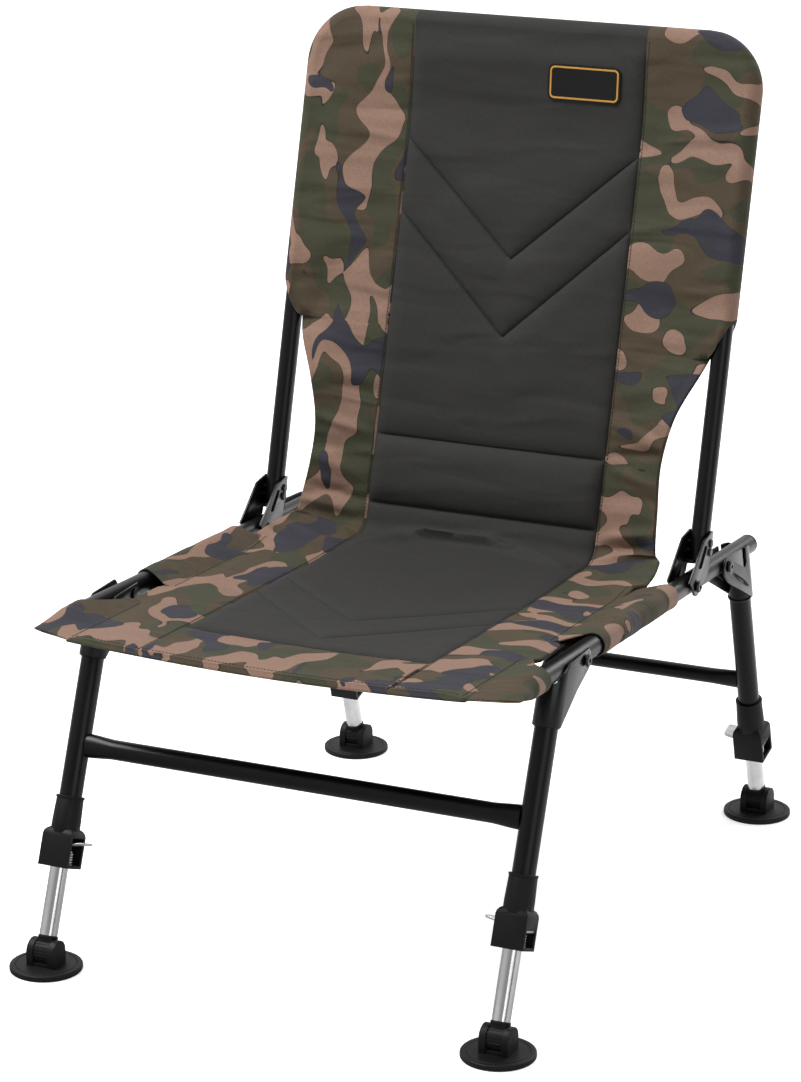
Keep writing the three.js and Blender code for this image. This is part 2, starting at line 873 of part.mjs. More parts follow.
function makeBackCover() {
  const backSeamSides = backSeamSideDrops.map((drop) => backTubeTop - drop);
  const backSeamApexes = backSeamApexDrops.map((drop) => backTubeTop - drop);
  const seams = [
    edgeAt(backCoverFoot),
    seamAt(backLumbarLow),
    seamAt(backLumbarHigh),
    ...backSeamSides.map((side, i) => seamAt(side, backSeamApexes[i])),
    edgeAt(backTubeTop),
  ];
  const shoulder = backTubeTop - backBendRadius;
  const middles = [
    (backLumbarLow + backLumbarHigh) / 2,
    ...backWaistHeights.slice(3),
    backSleeveFoot,
    (backSleeveFoot + backSeamSides[0]) / 2,
    (backSeamSides[0] + backSeamSides[1]) / 2,
    (backSeamSides[1] + shoulder) / 2,
    ...bendRowShares.map((share) => shoulder + backBendRadius * share),
  ];
  const upright = new THREE.Matrix4().makeRotationX(Math.PI / 2);
  const sheet = paddedSheet(paddedRows(seams, middles, backHalfAt), 0).applyMatrix4(upright);
  const sleeve = sweep(circlePoints(sleeveRadius, sleeveSides), backFrameStations(backSleeveFoot));
  const boreRadius = backTubeRadius + seatGap;
  const bore = sweep(circlePoints(boreRadius, tubeSides), backFrameStations(backSleeveFoot - cutOverrun));
  return cut(joined(sheet, sleeve), bore);
}

function addBackCover() {
  const cover = makeBackCover();
  addPiece(backGroup, "back_cover", cover, finish.camoFabric, [0, backTubeOffset, 0]);
  const outline = roundedBox(badgeWidth / 2, badgeHeight / 2, badgeCorner);
  const badge = prism(outline, 0, badgeThick).rotateX(Math.PI / 2);
  const face = backTubeOffset - fabricHalf - padRise - seatGap;
  addPiece(backGroup, "badge", badge, finish.rubberPatch, [badgeAcross, face, backTubeTop - badgeDrop]);
}

// Legs: the front and the rear set share their pieces

const legSets = [
  {
    label: "front",
    group: frontLegGroup,
    lean: -frontLegLean,
    legY: -frontLegOffset,
    drop: frontLegDrop,
    crossDrop: frontCrossDrop,
    crossRadius: frontCrossRadius,
    makeBracket: makeFrontBracket,
  },
  {
    label: "rear",
    group: rearLegGroup,
    lean: rearLegLean,
    legY: rearLegOffset,
    drop: rearLegDrop,
    crossDrop: rearCrossDrop,
    crossRadius: rearCrossRadius,
    makeBracket: makeRearBracket,
  },
];

// The upper end of a leg tube or of its channel meets the rail's underside at its outermost edge
function legTopAt(set, radius) {
  const edge = set.legY + Math.sign(set.legY) * radius;
  return railFaceAt(edge, set.lean, -1);
}

const frontCheekShares = [
  [-0.29, -0.45],
  [-0.975, -1],
];
const frontTopShares = [
  [-1.098, -0.222],
  [-0.913, -0.081],
];

function makeFrontBracket(set) {
  const top = legTopAt(set, legCheekOuter);
  const edge = -frontLegOffset - legCheekOuter;
  const outline = [
    ...arcPoints(0, 0, legEyeRadius, ...frontEyeArc),
    ...sharedPoints(frontCheekShares, frontLegOffset, frontBracketReach),
    new THREE.Vector2(edge - cutOverrun, -frontBracketReach),
    new THREE.Vector2(edge - cutOverrun, top),
    new THREE.Vector2(edge, top),
    ...sharedPoints(frontTopShares, frontLegOffset, frontBracketReach),
  ];
  return legChannel(set, outline.reverse(), frontBracketReach);
}

const rearCheekShares = [
  [-0.042, -0.249],
  [1.01, -1],
];
const rearTopShares = [
  [1.293, -0.308],
  [1.1275, -0.179],
  [0.87, -0.1],
  [0.87, -0.33],
  [0.785, -0.39],
  [0.7, -0.33],
  [0.7, -0.045],
];

function makeRearBracket(set) {
  const top = legTopAt(set, legCheekOuter);
  const edge = rearLegOffset + legCheekOuter;
  const outline = [
    ...arcPoints(0, 0, legEyeRadius, ...rearEyeArc),
    ...sharedPoints(rearCheekShares, rearLegOffset, rearBracketReach),
    new THREE.Vector2(edge + cutOverrun, -rearBracketReach),
    new THREE.Vector2(edge + cutOverrun, top),
    ...sharedPoints(rearTopShares, rearLegOffset, rearBracketReach),
  ];
  return legChannel(set, outline, rearBracketReach);
}

// A channel round the leg trimmed to the side outline, drilled for the bolt and notched for the rail
function legChannel(set, outline, reach) {
  const grip = legCheekOuter + cutOverrun;
  const openY = -Math.sign(set.legY) * (legEyeRadius + cutOverrun);
  const section = channelSection(legCheekInner, legCheekOuter, set.legY, openY, Math.sign(set.legY));
  const channel = prism(section, -reach - cutOverrun, reach);
  const length = railRearEnd + railFrontReach;
  const notch = rodAlong(railRadius + cheekClearance, -length, length).rotateX(railSlope - set.lean);
  return cut(common(channel, sidePrism(outline, -grip, grip)), rodAcross(boltHoleRadius, -grip, grip), notch);
}

// A cross tube with its ends pressed taller and narrower where they meet the legs
function makeCrossTube(radius) {
  const end = halfTrack;
  const flareStart = halfTrack - legRadius - crossFlareLength;
  const flareMiddle = flareStart + crossFlareLength / 2;
  const stations = [
    { x: -end, share: 1 },
    { x: -flareMiddle, share: 0.5 },
    { x: -flareStart, share: 0 },
    { x: flareStart, share: 0 },
    { x: flareMiddle, share: 0.5 },
    { x: end, share: 1 },
  ];
  const rings = (inset, overrun) =>
    stations.map(({ x, share }) => {
      const tall = radius + crossFlareRise * share - inset;
      const deep = radius - crossFlareDraw * share - inset;
      const place = x + Math.sign(x) * overrun * share;
      return ellipsePoints(deep, tall, tubeSides).map((point) => new THREE.Vector3(place, point.x, point.y));
    });
  const leg = rod(legRadius + seatGap, -legRadius - cutOverrun, legRadius + cutOverrun);
  const legs = sides.map(({ sign }) => leg.clone().translate(sign * halfTrack, 0, 0));
  const ends = sides.map(({ sign }) => {
    const outer = halfTrack + legRadius + cutOverrun;
    return rodAcross(legRadius + cutOverrun, halfTrack, outer).rotateZ(sign > 0 ? 0 : Math.PI);
  });
  return cut(loft(rings(0, 0)), loft(rings(crossWall, cutOverrun)), ...legs, ...ends);
}

// Adjuster housing: a box with round shoulders and a collar, heights from the bottom of the box.
// The outer side faces +X here.
function makeHousing(sign) {
  const halfDepth = boxDepth / 2;
  const halfWidth = boxWidth / 2;
  const collarTop = boxHeight + collarHeight;
  const sideways = sidePrism(shoulderedProfile(halfDepth), -halfWidth, halfWidth);
  const across = prism(shoulderedProfile(halfWidth), -halfDepth, halfDepth).rotateX(Math.PI / 2);
  const box = common(sideways, across);
  const collar = turnedBody([
    [0, boxHeight - boxRoof],
    [collarFootRadius, boxHeight - boxRoof],
    [collarFootRadius, boxHeight + boxRoof],
    [collarTopRadius, collarTop],
    [0, collarTop],
  ]);
  const cavityWide = halfWidth - boxWall;
  const cavityDeep = halfDepth - boxWall;
  const cavityTop = boxHeight - boxRoof;
  const cavity = prism(roundedBox(cavityWide, cavityDeep, boxWall / 2), boxFloor, cavityTop);
  const legBore = rod(legRadius + seatGap, boxHeight + tubeSeatHeight, collarTop + cutOverrun);
  const innerBore = rod(innerLegRadius + seatGap, -cutOverrun, boxHeight + tubeSeatHeight + cutOverrun);
  const innerWindow = windowCut(innerWindowWidth, windowSill, windowSill + innerWindowHeight, -sign);
  const outerTop = plateHingeHeight + plateThick / 2 + seatGap;
  const outerWindow = windowCut(outerWindowWidth, windowSill, outerTop, sign);
  return cut(joined(box, collar), cavity, legBore, innerBore, innerWindow, outerWindow);
}

// A box outline with round upper corners, standing on its lower edge
function shoulderedProfile(half) {
  const shoulder = half - boxShoulder;
  const height = boxHeight - boxShoulder;
  return [
    new THREE.Vector2(half, 0),
    ...arcPoints(shoulder, height, boxShoulder, 0, 90),
    ...arcPoints(-shoulder, height, boxShoulder, 90, 180),
    new THREE.Vector2(-half, 0),
  ];
}

function windowCut(width, low, high, sign) {
  const box = new THREE.BoxGeometry(boxWall + 2 * cutOverrun, width, high - low);
  return box.translate(sign * (boxWidth / 2), 0, (low + high) / 2);
}

// Coil spring round the inner leg, from just over the box floor to just under the pressed plate
function makeSpring() {
  const chordShare = Math.cos(Math.PI / springStepsPerTurn);
  const radius = (innerLegRadius + seatGap + springWire / 2) / chordShare;
  const outward = plateHingeOut - radius - springWire / 2;
  const pressed = plateHingeHeight + outward * Math.tan(plateTilt - platePress) - plateThick / 2;
  const low = boxFloor + seatGap + springWire / 2;
  const high = pressed - seatGap - springWire / 2;
  const steps = springTurns * springStepsPerTurn;
  const climb = (high - low) / (springTurns * 2 * Math.PI);
  const stations = [];
  for (let i = 0; i <= steps; i += 1) {
    const angle = (i / springStepsPerTurn) * 2 * Math.PI;
    const x = radius * Math.cos(angle);
    const y = radius * Math.sin(angle);
    const point = new THREE.Vector3(x, y, low + climb * angle);
    const tangent = new THREE.Vector3(-y, x, climb).normalize();
    stations.push({ point, tangent });
  }
  reportSpringGap(stations);
  return sweep(circlePoints(springWire / 2, springWireSides), stations);
}

// Least distance between points of the wire that lie more than half a turn apart, less the wire
function reportSpringGap(stations) {
  let least = Infinity;
  for (let i = 0; i < stations.length; i += 1) {
    for (let k = i + springStepsPerTurn / 2; k < stations.length; k += 1) {
      least = Math.min(least, stations[i].point.distanceTo(stations[k].point) - springWire);
    }
  }
  const verdict = least > springLeastGap ? "clear" : "too tight";
  console.log(`spring: least gap between curls ${least.toFixed(2)} mm, ${verdict}`);
}

// Jam plate, flat in (x, y) with its hinge end at the origin and its tab towards -x
function makePlate() {
  const half = plateWidth / 2;
  const endHalf = plateEndWidth / 2;
  const insideFrom = plateHingeOut - (boxWidth / 2 - boxWall) + plateShoulderClearance;
  const insideTo = plateHingeOut + (boxWidth / 2 - boxWall) - plateShoulderClearance;
  const corner = plateCornerRadius;
  const outline = [
    new THREE.Vector2(0, -endHalf),
    new THREE.Vector2(0, endHalf),
    new THREE.Vector2(-insideFrom, endHalf),
    new THREE.Vector2(-insideFrom, half),
    new THREE.Vector2(-insideTo, half),
    new THREE.Vector2(-insideTo, endHalf),
    ...arcPoints(-plateLength + corner, endHalf - corner, corner, 90, 180, 2),
    ...arcPoints(-plateLength + corner, -endHalf + corner, corner, 180, 270, 2),
    new THREE.Vector2(-insideTo, -endHalf),
    new THREE.Vector2(-insideTo, -half),
    new THREE.Vector2(-insideFrom, -half),
    new THREE.Vector2(-insideFrom, -endHalf),
  ];
  const holeCentre = new THREE.Vector2(-plateHingeOut / Math.cos(plateTilt), 0);
  const hole = circlePoints(plateHoleRadius, plateHoleSides).map((point) => point.add(holeCentre));
  return prism(outline, -plateThick / 2, plateThick / 2, [hole]);
}

// Swivel foot: a disc with two lugs, the sole at the foot of Z
function makeFootDisc() {
  const disc = turnedBody([
    [0, 0],
    [footRadius - footSoleInset, 0],
    [footRadius, footEdgeHeight],
    [footRadius, footThick - footEdgeHeight],
    [footRadius - footEdgeHeight, footThick],
    [0, footThick],
  ], footSides);
  const lugFoot = footThick / 2;
  const outline = [
    new THREE.Vector2(lugRadius, lugFoot),
    ...arcPoints(0, footPivotHeight, lugRadius, 0, 180, 2 * arcSteps),
    new THREE.Vector2(-lugRadius, lugFoot),
  ];
  const inner = hubWidth / 2 + seatGap;
  const outer = inner + lugWidth;
  const lugs = [sidePrism(outline, inner, outer), sidePrism(outline, -outer, -inner)];
  const hole = rodAcross(trunnionRadius + seatGap, -outer - cutOverrun, outer + cutOverrun);
  return cut(joined(disc, ...lugs), hole.translate(0, 0, footPivotHeight));
}

// Foot knuckle: a barrel with two trunnions, a neck under the chromed tube and a plug inside it
function makeFootHub() {
  const neckFoot = lugRadius + seatGap;
  const neckTop = neckFoot + neckHeight;
  const plugRadius = innerLegRadius - innerLegWall - seatGap;
  const halfWidth = hubWidth / 2;
  const pinEnd = halfWidth + seatGap + lugWidth;
  const barrel = rodAcross(hubRadius, -halfWidth, halfWidth, turnedSides);
  const pins = rodAcross(trunnionRadius, -pinEnd, pinEnd);
  const stem = new THREE.BoxGeometry(hubWidth, 2 * plugRadius, neckTop).translate(0, 0, neckTop / 2);
  const neck = rod(neckRadius, neckFoot, neckTop);
  const plug = rod(plugRadius, neckTop - neckHeight / 2, neckTop + hubPlugLength);
  const hollow = rod(plugRadius - hubPlugWall, neckTop + hubPlugWall, neckTop + hubPlugLength + cutOverrun);
  return cut(joined(barrel, pins, stem, neck, plug), hollow);
}

function addLegSet(set) {
  const boxBottom = set.drop - boxDrop;
  const tubeFoot = -boxDrop + boxHeight + tubeSeatHeight + seatGap;
  const tubeTop = legTopAt(set, legRadius);
  const legTube = pipe(legRadius, legWall, tubeFoot, tubeTop);
  const innerFoot = lugRadius + seatGap + neckHeight + seatGap;
  const innerLeg = pipe(innerLegRadius, innerLegWall, innerFoot, innerLegTop);
  const bracket = set.makeBracket(set);
  const spring = makeSpring();
  const plate = makePlate();
  const foot = makeFootDisc();
  const hub = makeFootHub();
  const crossTube = makeCrossTube(set.crossRadius);
  addPiece(set.group, `${set.label}_cross_tube`, crossTube, finish.blackTube, [0, set.legY, -set.crossDrop]);
  for (const { label, sign } of sides) {
    const name = `${label}_${set.label}`;
    const x = sign * halfTrack;
    const onLeg = (height) => [x, set.legY, height - set.drop];
    addPiece(set.group, `${name}_leg_tube`, legTube, finish.blackTube, [x, set.legY, 0]);
    addPiece(set.group, `${name}_leg_bracket`, bracket, finish.greyBracket, [x, 0, 0]);
    addPiece(set.group, `${name}_adjuster_housing`, makeHousing(sign), finish.blackPlastic, onLeg(boxBottom));
    addPiece(set.group, `${name}_adjuster_spring`, spring, finish.zinc, onLeg(boxBottom));
    addPiece(set.group, `${name}_inner_leg`, innerLeg, finish.chrome, onLeg(0));
    addPiece(set.group, `${name}_foot_hub`, hub, finish.blackPlastic, onLeg(0));
    const hinge = onLeg(boxBottom + plateHingeHeight);
    hinge[0] += sign * plateHingeOut;
    const turn = [0, sign * plateTilt, sign > 0 ? 0 : Math.PI];
    addPiece(set.group, `${name}_lock_plate`, plate, finish.zinc, hinge, turn);
    const footY = Math.sign(set.legY) * halfFootBase;
    addPiece(chair, `${name}_foot_disc`, foot, finish.blackPlastic, [x, footY, 0]);
  }
}

addRails();
addPivotBolts();
addPiece(railGroup, "seat_cover", makeSeatCover(), finish.camoFabric);
addBackFrame();
addBackBrackets();
addBackCover();
legSets.forEach(addLegSet);

export default chair;
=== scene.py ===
"""A low folding carp chair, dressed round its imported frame.

Painted side rails and a bent back tube carry a padded sling cover in woodland camouflage, and four
telescopic legs end in swivel feet. Lengths are in metres: X across the chair, Y to the rear, Z up.
"""

import json
import logging
import math
from contextlib import contextmanager
from dataclasses import dataclass, field
from enum import Enum
from typing import Callable, Iterator, Sequence

import bpy
import numpy as np
from mathutils import Matrix, Vector


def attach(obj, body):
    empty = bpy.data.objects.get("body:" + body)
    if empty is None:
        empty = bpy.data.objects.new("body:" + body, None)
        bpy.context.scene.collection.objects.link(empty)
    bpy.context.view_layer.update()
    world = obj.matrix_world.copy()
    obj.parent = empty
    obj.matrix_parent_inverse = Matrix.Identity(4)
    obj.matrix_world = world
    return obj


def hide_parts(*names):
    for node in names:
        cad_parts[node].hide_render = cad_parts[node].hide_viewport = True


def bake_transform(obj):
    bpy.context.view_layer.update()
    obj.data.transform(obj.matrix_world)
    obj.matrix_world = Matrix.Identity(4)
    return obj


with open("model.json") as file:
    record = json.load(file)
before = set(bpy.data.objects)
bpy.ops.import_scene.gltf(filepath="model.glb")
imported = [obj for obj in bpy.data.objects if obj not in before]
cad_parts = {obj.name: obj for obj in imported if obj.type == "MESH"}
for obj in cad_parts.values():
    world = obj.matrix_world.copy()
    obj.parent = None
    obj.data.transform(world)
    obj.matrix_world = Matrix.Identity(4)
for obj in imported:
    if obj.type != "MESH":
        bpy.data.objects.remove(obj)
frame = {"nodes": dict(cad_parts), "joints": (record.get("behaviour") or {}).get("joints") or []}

Array = np.ndarray
Socket = bpy.types.NodeSocket
LOG = logging.getLogger("carp_chair")
MM = 0.001
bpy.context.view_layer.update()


class Side(Enum):
    """The two sides of the chair, by the sign of X."""

    LEFT = -1
    RIGHT = 1

    @property
    def label(self) -> str:
        """The side's name in the node names."""
        return self.name.lower()

    def shift(self, along: float = 0, up: float = 0) -> Matrix:
        """A move out to the side's rail."""
        return Matrix.Translation((self.value * STANCE.half_track, along, up))


class Finish(Enum):
    """Material slots of the record that the finishes belong to."""

    TUBE = "black_tube"
    BRACKET = "grey_bracket"
    PLASTIC = "black_plastic"
    CHROME = "chrome_tube"
    ZINC = "zinc_steel"
    BOLT = "bolt_steel"
    CLOTH = "camo_fabric"
    BADGE = "badge_rubber"


class Layer(Enum):
    """Material indices of the cover's faces."""

    CAMO = 0
    PANEL = 1
    LINING = 2


# Stance


def joint_pivot(name: str) -> Vector:
    """The pivot point of a joint of the frame."""
    return Vector(next(joint["pos_m"] for joint in frame["joints"] if joint["name"] == name))


def tilted(pivot: Vector, lean: float) -> Matrix:
    """A frame at a pivot, turned about X."""
    return Matrix.Translation(pivot) @ Matrix.Rotation(lean, 4, "X")


@dataclass(frozen=True)
class Stance:
    """Pivots and leans of the chair's frames, which place all pieces."""

    half_track: float = 235 * MM
    foot_pivot_height: float = 18 * MM
    half_foot_base: float = 339 * MM
    back_offset: float = 28.3 * MM
    back_top: float = 531 * MM
    back_bend: float = 48 * MM
    front_lean: float = math.radians(-21.3)
    rear_lean: float = math.radians(16.16)
    back_lean: float = math.radians(-14.6)
    front_pivot: Vector = field(default_factory=lambda: joint_pivot("front_legs_fold"))
    rear_pivot: Vector = field(default_factory=lambda: joint_pivot("rear_legs_fold"))
    back_pivot: Vector = field(default_factory=lambda: joint_pivot("back_fold"))

    @property
    def rail_slope(self) -> float:
        """Angle of the side rails about X."""
        run = self.rear_pivot - self.front_pivot
        return math.atan2(run.z, run.y)

    @property
    def rail_matrix(self) -> Matrix:
        """Frame of the rails: Y runs along them from the front pivot."""
        return tilted(self.front_pivot, self.rail_slope)

    @property
    def back_matrix(self) -> Matrix:
        """Frame of the back: Z runs up the back from its pivot."""
        return tilted(self.back_pivot, self.back_lean)

    @property
    def front_leg_matrix(self) -> Matrix:
        """Frame of the front legs: Z runs up them to their pivot."""
        return tilted(self.front_pivot, self.front_lean)

    @property
    def rear_leg_matrix(self) -> Matrix:
        """Frame of the rear legs: Z runs up them to their pivot."""
        return tilted(self.rear_pivot, self.rear_lean)


STANCE = Stance()
ACROSS = Matrix.Rotation(math.pi / 2, 4, "Y")
REARWARD = Matrix.Rotation(-math.pi / 2, 4, "X")
FORWARD = Matrix.Rotation(math.pi / 2, 4, "X")


# Bench: the edit-mode work that all hard pieces share


class Part:
    """One mesh under way: a primitive that edit-mode steps shape, ended at the origin."""

    def __init__(self, name: str) -> None:
        """Takes over the object that an operator has just added.

        Args:
            name: the piece's name.
        """
        self.object = bpy.context.object
        self.object.name = name
        self.object.data.name = name

    @staticmethod
    def clear() -> None:
        """Deselects every object."""
        bpy.ops.object.select_all(action="DESELECT")

    @classmethod
    def of_mesh(cls, name: str, mesh: bpy.types.Mesh) -> "Part":
        """Makes a part from a mesh.

        Args:
            name: the piece's name.
            mesh: its mesh.

        Returns:
            The new part.
        """
        cls.clear()
        made = bpy.data.objects.new(name, mesh)
        bpy.context.scene.collection.objects.link(made)
        bpy.context.view_layer.objects.active = made
        return cls(name)

    @classmethod
    def drawn(cls, name: str, points: Sequence, faces: Sequence[tuple]) -> "Part":
        """Makes a part from its points and faces.

        Args:
            name: the piece's name.
            points: X, Y and Z of each vertex.
            faces: the vertices of each face.

        Returns:
            The new part.
        """
        mesh = bpy.data.meshes.new(name)
        mesh.from_pydata([tuple(map(float, point)) for point in points], [], faces)
        return cls.of_mesh(name, mesh)

    @classmethod
    def weld(cls, radius: float, thick: float, wave: float, waves: int, stretch: tuple = (1, 1)) -> "Part":
        """Adds a weld bead round Z, wavy as laid by hand.

        Args:
            radius: the radius of the bead's line.
            thick: the bead's own radius.
            wave: the height of its waves.
            waves: how many waves run round it.
            stretch: its stretch in X and Y.

        Returns:
            The new part.
        """
        cls.clear()
        bpy.ops.mesh.primitive_torus_add(
            major_segments=48, minor_segments=8, major_radius=radius, minor_radius=thick
        )
        part = cls("weld").placed(Matrix.Diagonal((*stretch, 1, 1)))
        for vertex in part.object.data.vertices:
            vertex.co.z += wave * math.sin(waves * math.atan2(vertex.co.y, vertex.co.x))
        return part

    @classmethod
    def rod(cls, name: str, radius: float, low: float, high: float, sides: int = 32) -> "Part":
        """Adds a rod along Z.

        Args:
            name: the piece's name.
            radius: the rod's radius.
            low: the lower end on Z.
            high: the upper end on Z.
            sides: the number of sides.

        Returns:
            The new part.
        """
        cls.clear()
        bpy.ops.mesh.primitive_cylinder_add(
            vertices=sides, radius=radius, depth=high - low, location=(0, 0, (low + high) / 2)
        )
        return cls(name).settle()

    @classmethod
    def ring(cls, name: str, radius: float, height: float, sides: int = 32) -> "Part":
        """Adds an open circle of edges at a height on Z.

        Args:
            name: the piece's name.
            radius: the circle's radius.
            height: the height on Z.
            sides: the number of sides.

        Returns:
            The new part.
        """
        cls.clear()
        bpy.ops.mesh.primitive_circle_add(vertices=sides, radius=radius, location=(0, 0, height))
        return cls(name).settle()

    @classmethod
    def tube(
        cls, name: str, radius: float, wall: float, low: float, high: float, sides: int = 48
    ) -> "Part":
        """Adds a tube along Z: a ring drawn out and given a wall.

        Args:
            name: the piece's name.
            radius: the outer radius.
            wall: the wall's thickness.
            low: the lower end on Z.
            high: the upper end on Z.
            sides: the number of sides.

        Returns:
            The new part.
        """
        part = cls.ring(name, radius, low, sides)
        with part.editing("EDGE", True):
            bpy.ops.mesh.extrude_region_move(TRANSFORM_OT_translate={"value": (0, 0, high - low)})
        part.turned_out().modify("SOLIDIFY", thickness=wall, offset=-1)
        return part.bevelled(0.25 * MM, 1, 60)

    @classmethod
    def block(cls, name: str, low: Sequence[float], high: Sequence[float]) -> "Part":
        """Adds a box between two corners.

        Args:
            name: the piece's name.
            low: the lowest corner.
            high: the highest corner.

        Returns:
            The new part.
        """
        cls.clear()
        bpy.ops.mesh.primitive_cube_add(size=1)
        part = cls(name)
        part.object.scale = [b - a for a, b in zip(low, high)]
        part.object.location = [(a + b) / 2 for a, b in zip(low, high)]
        return part.settle()

    def hold(self) -> None:
        """Makes this the only selected object and the active one."""
        self.clear()
        self.object.select_set(True)
        bpy.context.view_layer.objects.active = self.object

    def settle(self) -> "Part":
        """Moves the object's place, turn and scale into its mesh.

        Returns:
            This part.
        """
        self.hold()
        bpy.ops.object.transform_apply(location=True, rotation=True, scale=True)
        return self

    @contextmanager
    def editing(self, mode: str = "FACE", everything: bool = False) -> Iterator[None]:
        """Edit mode with everything or nothing selected.

        Args:
            mode: the kind of element that is selected.
            everything: whether all is selected.

        Yields:
            Nothing; edit mode ends after the block.
        """
        self.hold()
        bpy.ops.object.mode_set(mode="EDIT")
        bpy.ops.mesh.select_mode(type=mode)
        bpy.ops.mesh.select_all(action="SELECT" if everything else "DESELECT")
        yield
        bpy.ops.object.mode_set(mode="OBJECT")

    def pick(self, kind: str, test: Callable) -> None:
        """Selects the mesh's elements of a kind that a test accepts, in edit mode.

        Args:
            kind: polygons, edges or vertices.
            test: says whether an element is selected.
        """
        bpy.ops.object.mode_set(mode="OBJECT")
        for each in getattr(self.object.data, kind):
            each.select = test(each)
        bpy.ops.object.mode_set(mode="EDIT")

    def pick_faces(self, test: Callable[[Vector, Vector], bool]) -> None:
        """Selects the faces that a test on centre and normal accepts, in edit mode."""
        self.pick("polygons", lambda face: test(face.center, face.normal))

    def pick_edges(self, test: Callable[[Vector, Vector], bool]) -> None:
        """Selects the edges that a test on their two ends accepts, in edit mode."""
        self.pick("edges", lambda edge: test(*(self.object.data.vertices[i].co for i in edge.vertices)))

    def modify(self, kind: str, **settings: object) -> "Part":
        """Adds a modifier and applies it.

        Args:
            kind: the modifier's type.
            settings: its settings by name.

        Returns:
            This part.
        """
        self.hold()
        modifier = self.object.modifiers.new(kind, kind)
        for key, value in settings.items():
            setattr(modifier, key, value)
        bpy.ops.object.modifier_apply(modifier=modifier.name)
        return self

    def merged(self) -> "Part":
        """Merges doubled vertices and turns all faces outwards.

        Returns:
            This part.
        """
        with self.editing("VERT", True):
            bpy.ops.mesh.remove_doubles(threshold=0.01 * MM)
            bpy.ops.mesh.normals_make_consistent(inside=False)
        return self

    def turned_out(self) -> "Part":
        """Turns all faces outwards.

        Returns:
            This part.
        """
        with self.editing(everything=True):
            bpy.ops.mesh.normals_make_consistent(inside=False)
        return self

    def sliced(self, place: Sequence[float], normal: Sequence[float]) -> "Part":
        """Cuts new edges where a plane meets the mesh.

        Args:
            place: a point of the plane.
            normal: the plane's normal.

        Returns:
            This part.
        """
        with self.editing(everything=True):
            bpy.ops.mesh.bisect(plane_co=place, plane_no=normal)
        return self

    def inset(self, test: Callable[[Vector, Vector], bool], *steps: Sequence[float]) -> "Part":
        """Insets the faces that a test accepts, by (thickness, depth) for each step.

        Args:
            test: a test on a face's centre and normal.
            steps: the insets in their order.

        Returns:
            This part.
        """
        with self.editing():
            self.pick_faces(test)
            for thickness, depth in steps:
                bpy.ops.mesh.inset(thickness=thickness, depth=depth)
        return self

    def without(self, other: "Part") -> "Part":
        """Cuts another part out of this one and removes it.

        Args:
            other: the part to cut out.

        Returns:
            This part.
        """
        self.modify("BOOLEAN", object=other.object, operation="DIFFERENCE", solver="EXACT")
        bpy.data.objects.remove(other.object)
        return self

    def bevelled(self, width: float, segments: int = 2, angle: float = 40) -> "Part":
        """Rounds the edges sharper than an angle in degrees."""
        turn = math.radians(angle)
        return self.modify("BEVEL", width=width, segments=segments, limit_method="ANGLE", angle_limit=turn)

    def hollowed(self, radius: float, half: float, height: float) -> "Part":
        """Cuts a round hole along X, of half a length each way, out of the part at a height."""
        drill = Part.rod("drill", radius, -half, half, 48)
        return self.without(drill.placed(Matrix.Translation((0, 0, height)) @ ACROSS))

    def placed(self, *moves: Matrix) -> "Part":
        """Moves the mesh by one matrix after the other and leaves the object at the origin.

        Args:
            moves: the matrices in their order.

        Returns:
            This part.
        """
        for move in moves:
            self.object.data.transform(move)
        self.object.data.update()
        return self

    def smoothed(self, angle: float = 35) -> "Part":
        """Shades smooth up to an angle in degrees.

        Args:
            angle: the largest angle that is smooth.

        Returns:
            This part.
        """
        self.hold()
        bpy.ops.object.shade_smooth_by_angle(angle=math.radians(angle))
        return self

    def joined(self, *others: "Part") -> "Part":
        """Joins other parts' meshes into this one.

        Args:
            others: the parts that go in.

        Returns:
            This part.
        """
        self.clear()
        for part in (*others, self):
            part.object.select_set(True)
        bpy.context.view_layer.objects.active = self.object
        bpy.ops.object.join()
        return self

    def dressed(self, material: bpy.types.Material, finish: Finish, body: str, *nodes: str) -> "Part":
        """Gives the piece its finish, its body and the nodes that it stands for.

        Args:
            material: the finish's material.
            finish: the record's slot.
            body: the body that the piece moves with.
            nodes: the nodes that it replaces.

        Returns:
            This part.
        """
        self.object.data.materials.clear()
        self.object.data.materials.append(material)
        return self.filed(finish, body, *nodes)

    def filed(self, finish: Finish, body: str, *nodes: str) -> "Part":
        """Hangs the piece on its body and hides the nodes that it stands for.

        Args:
            finish: the record's slot; not used.
            body: the body that the piece moves with.
            nodes: the nodes that it replaces.

        Returns:
            This part.
        """
        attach(self.object, body)
        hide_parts(*nodes)
        LOG.info("%s rides on %s", self.object.name, body)
        return self


# Materials


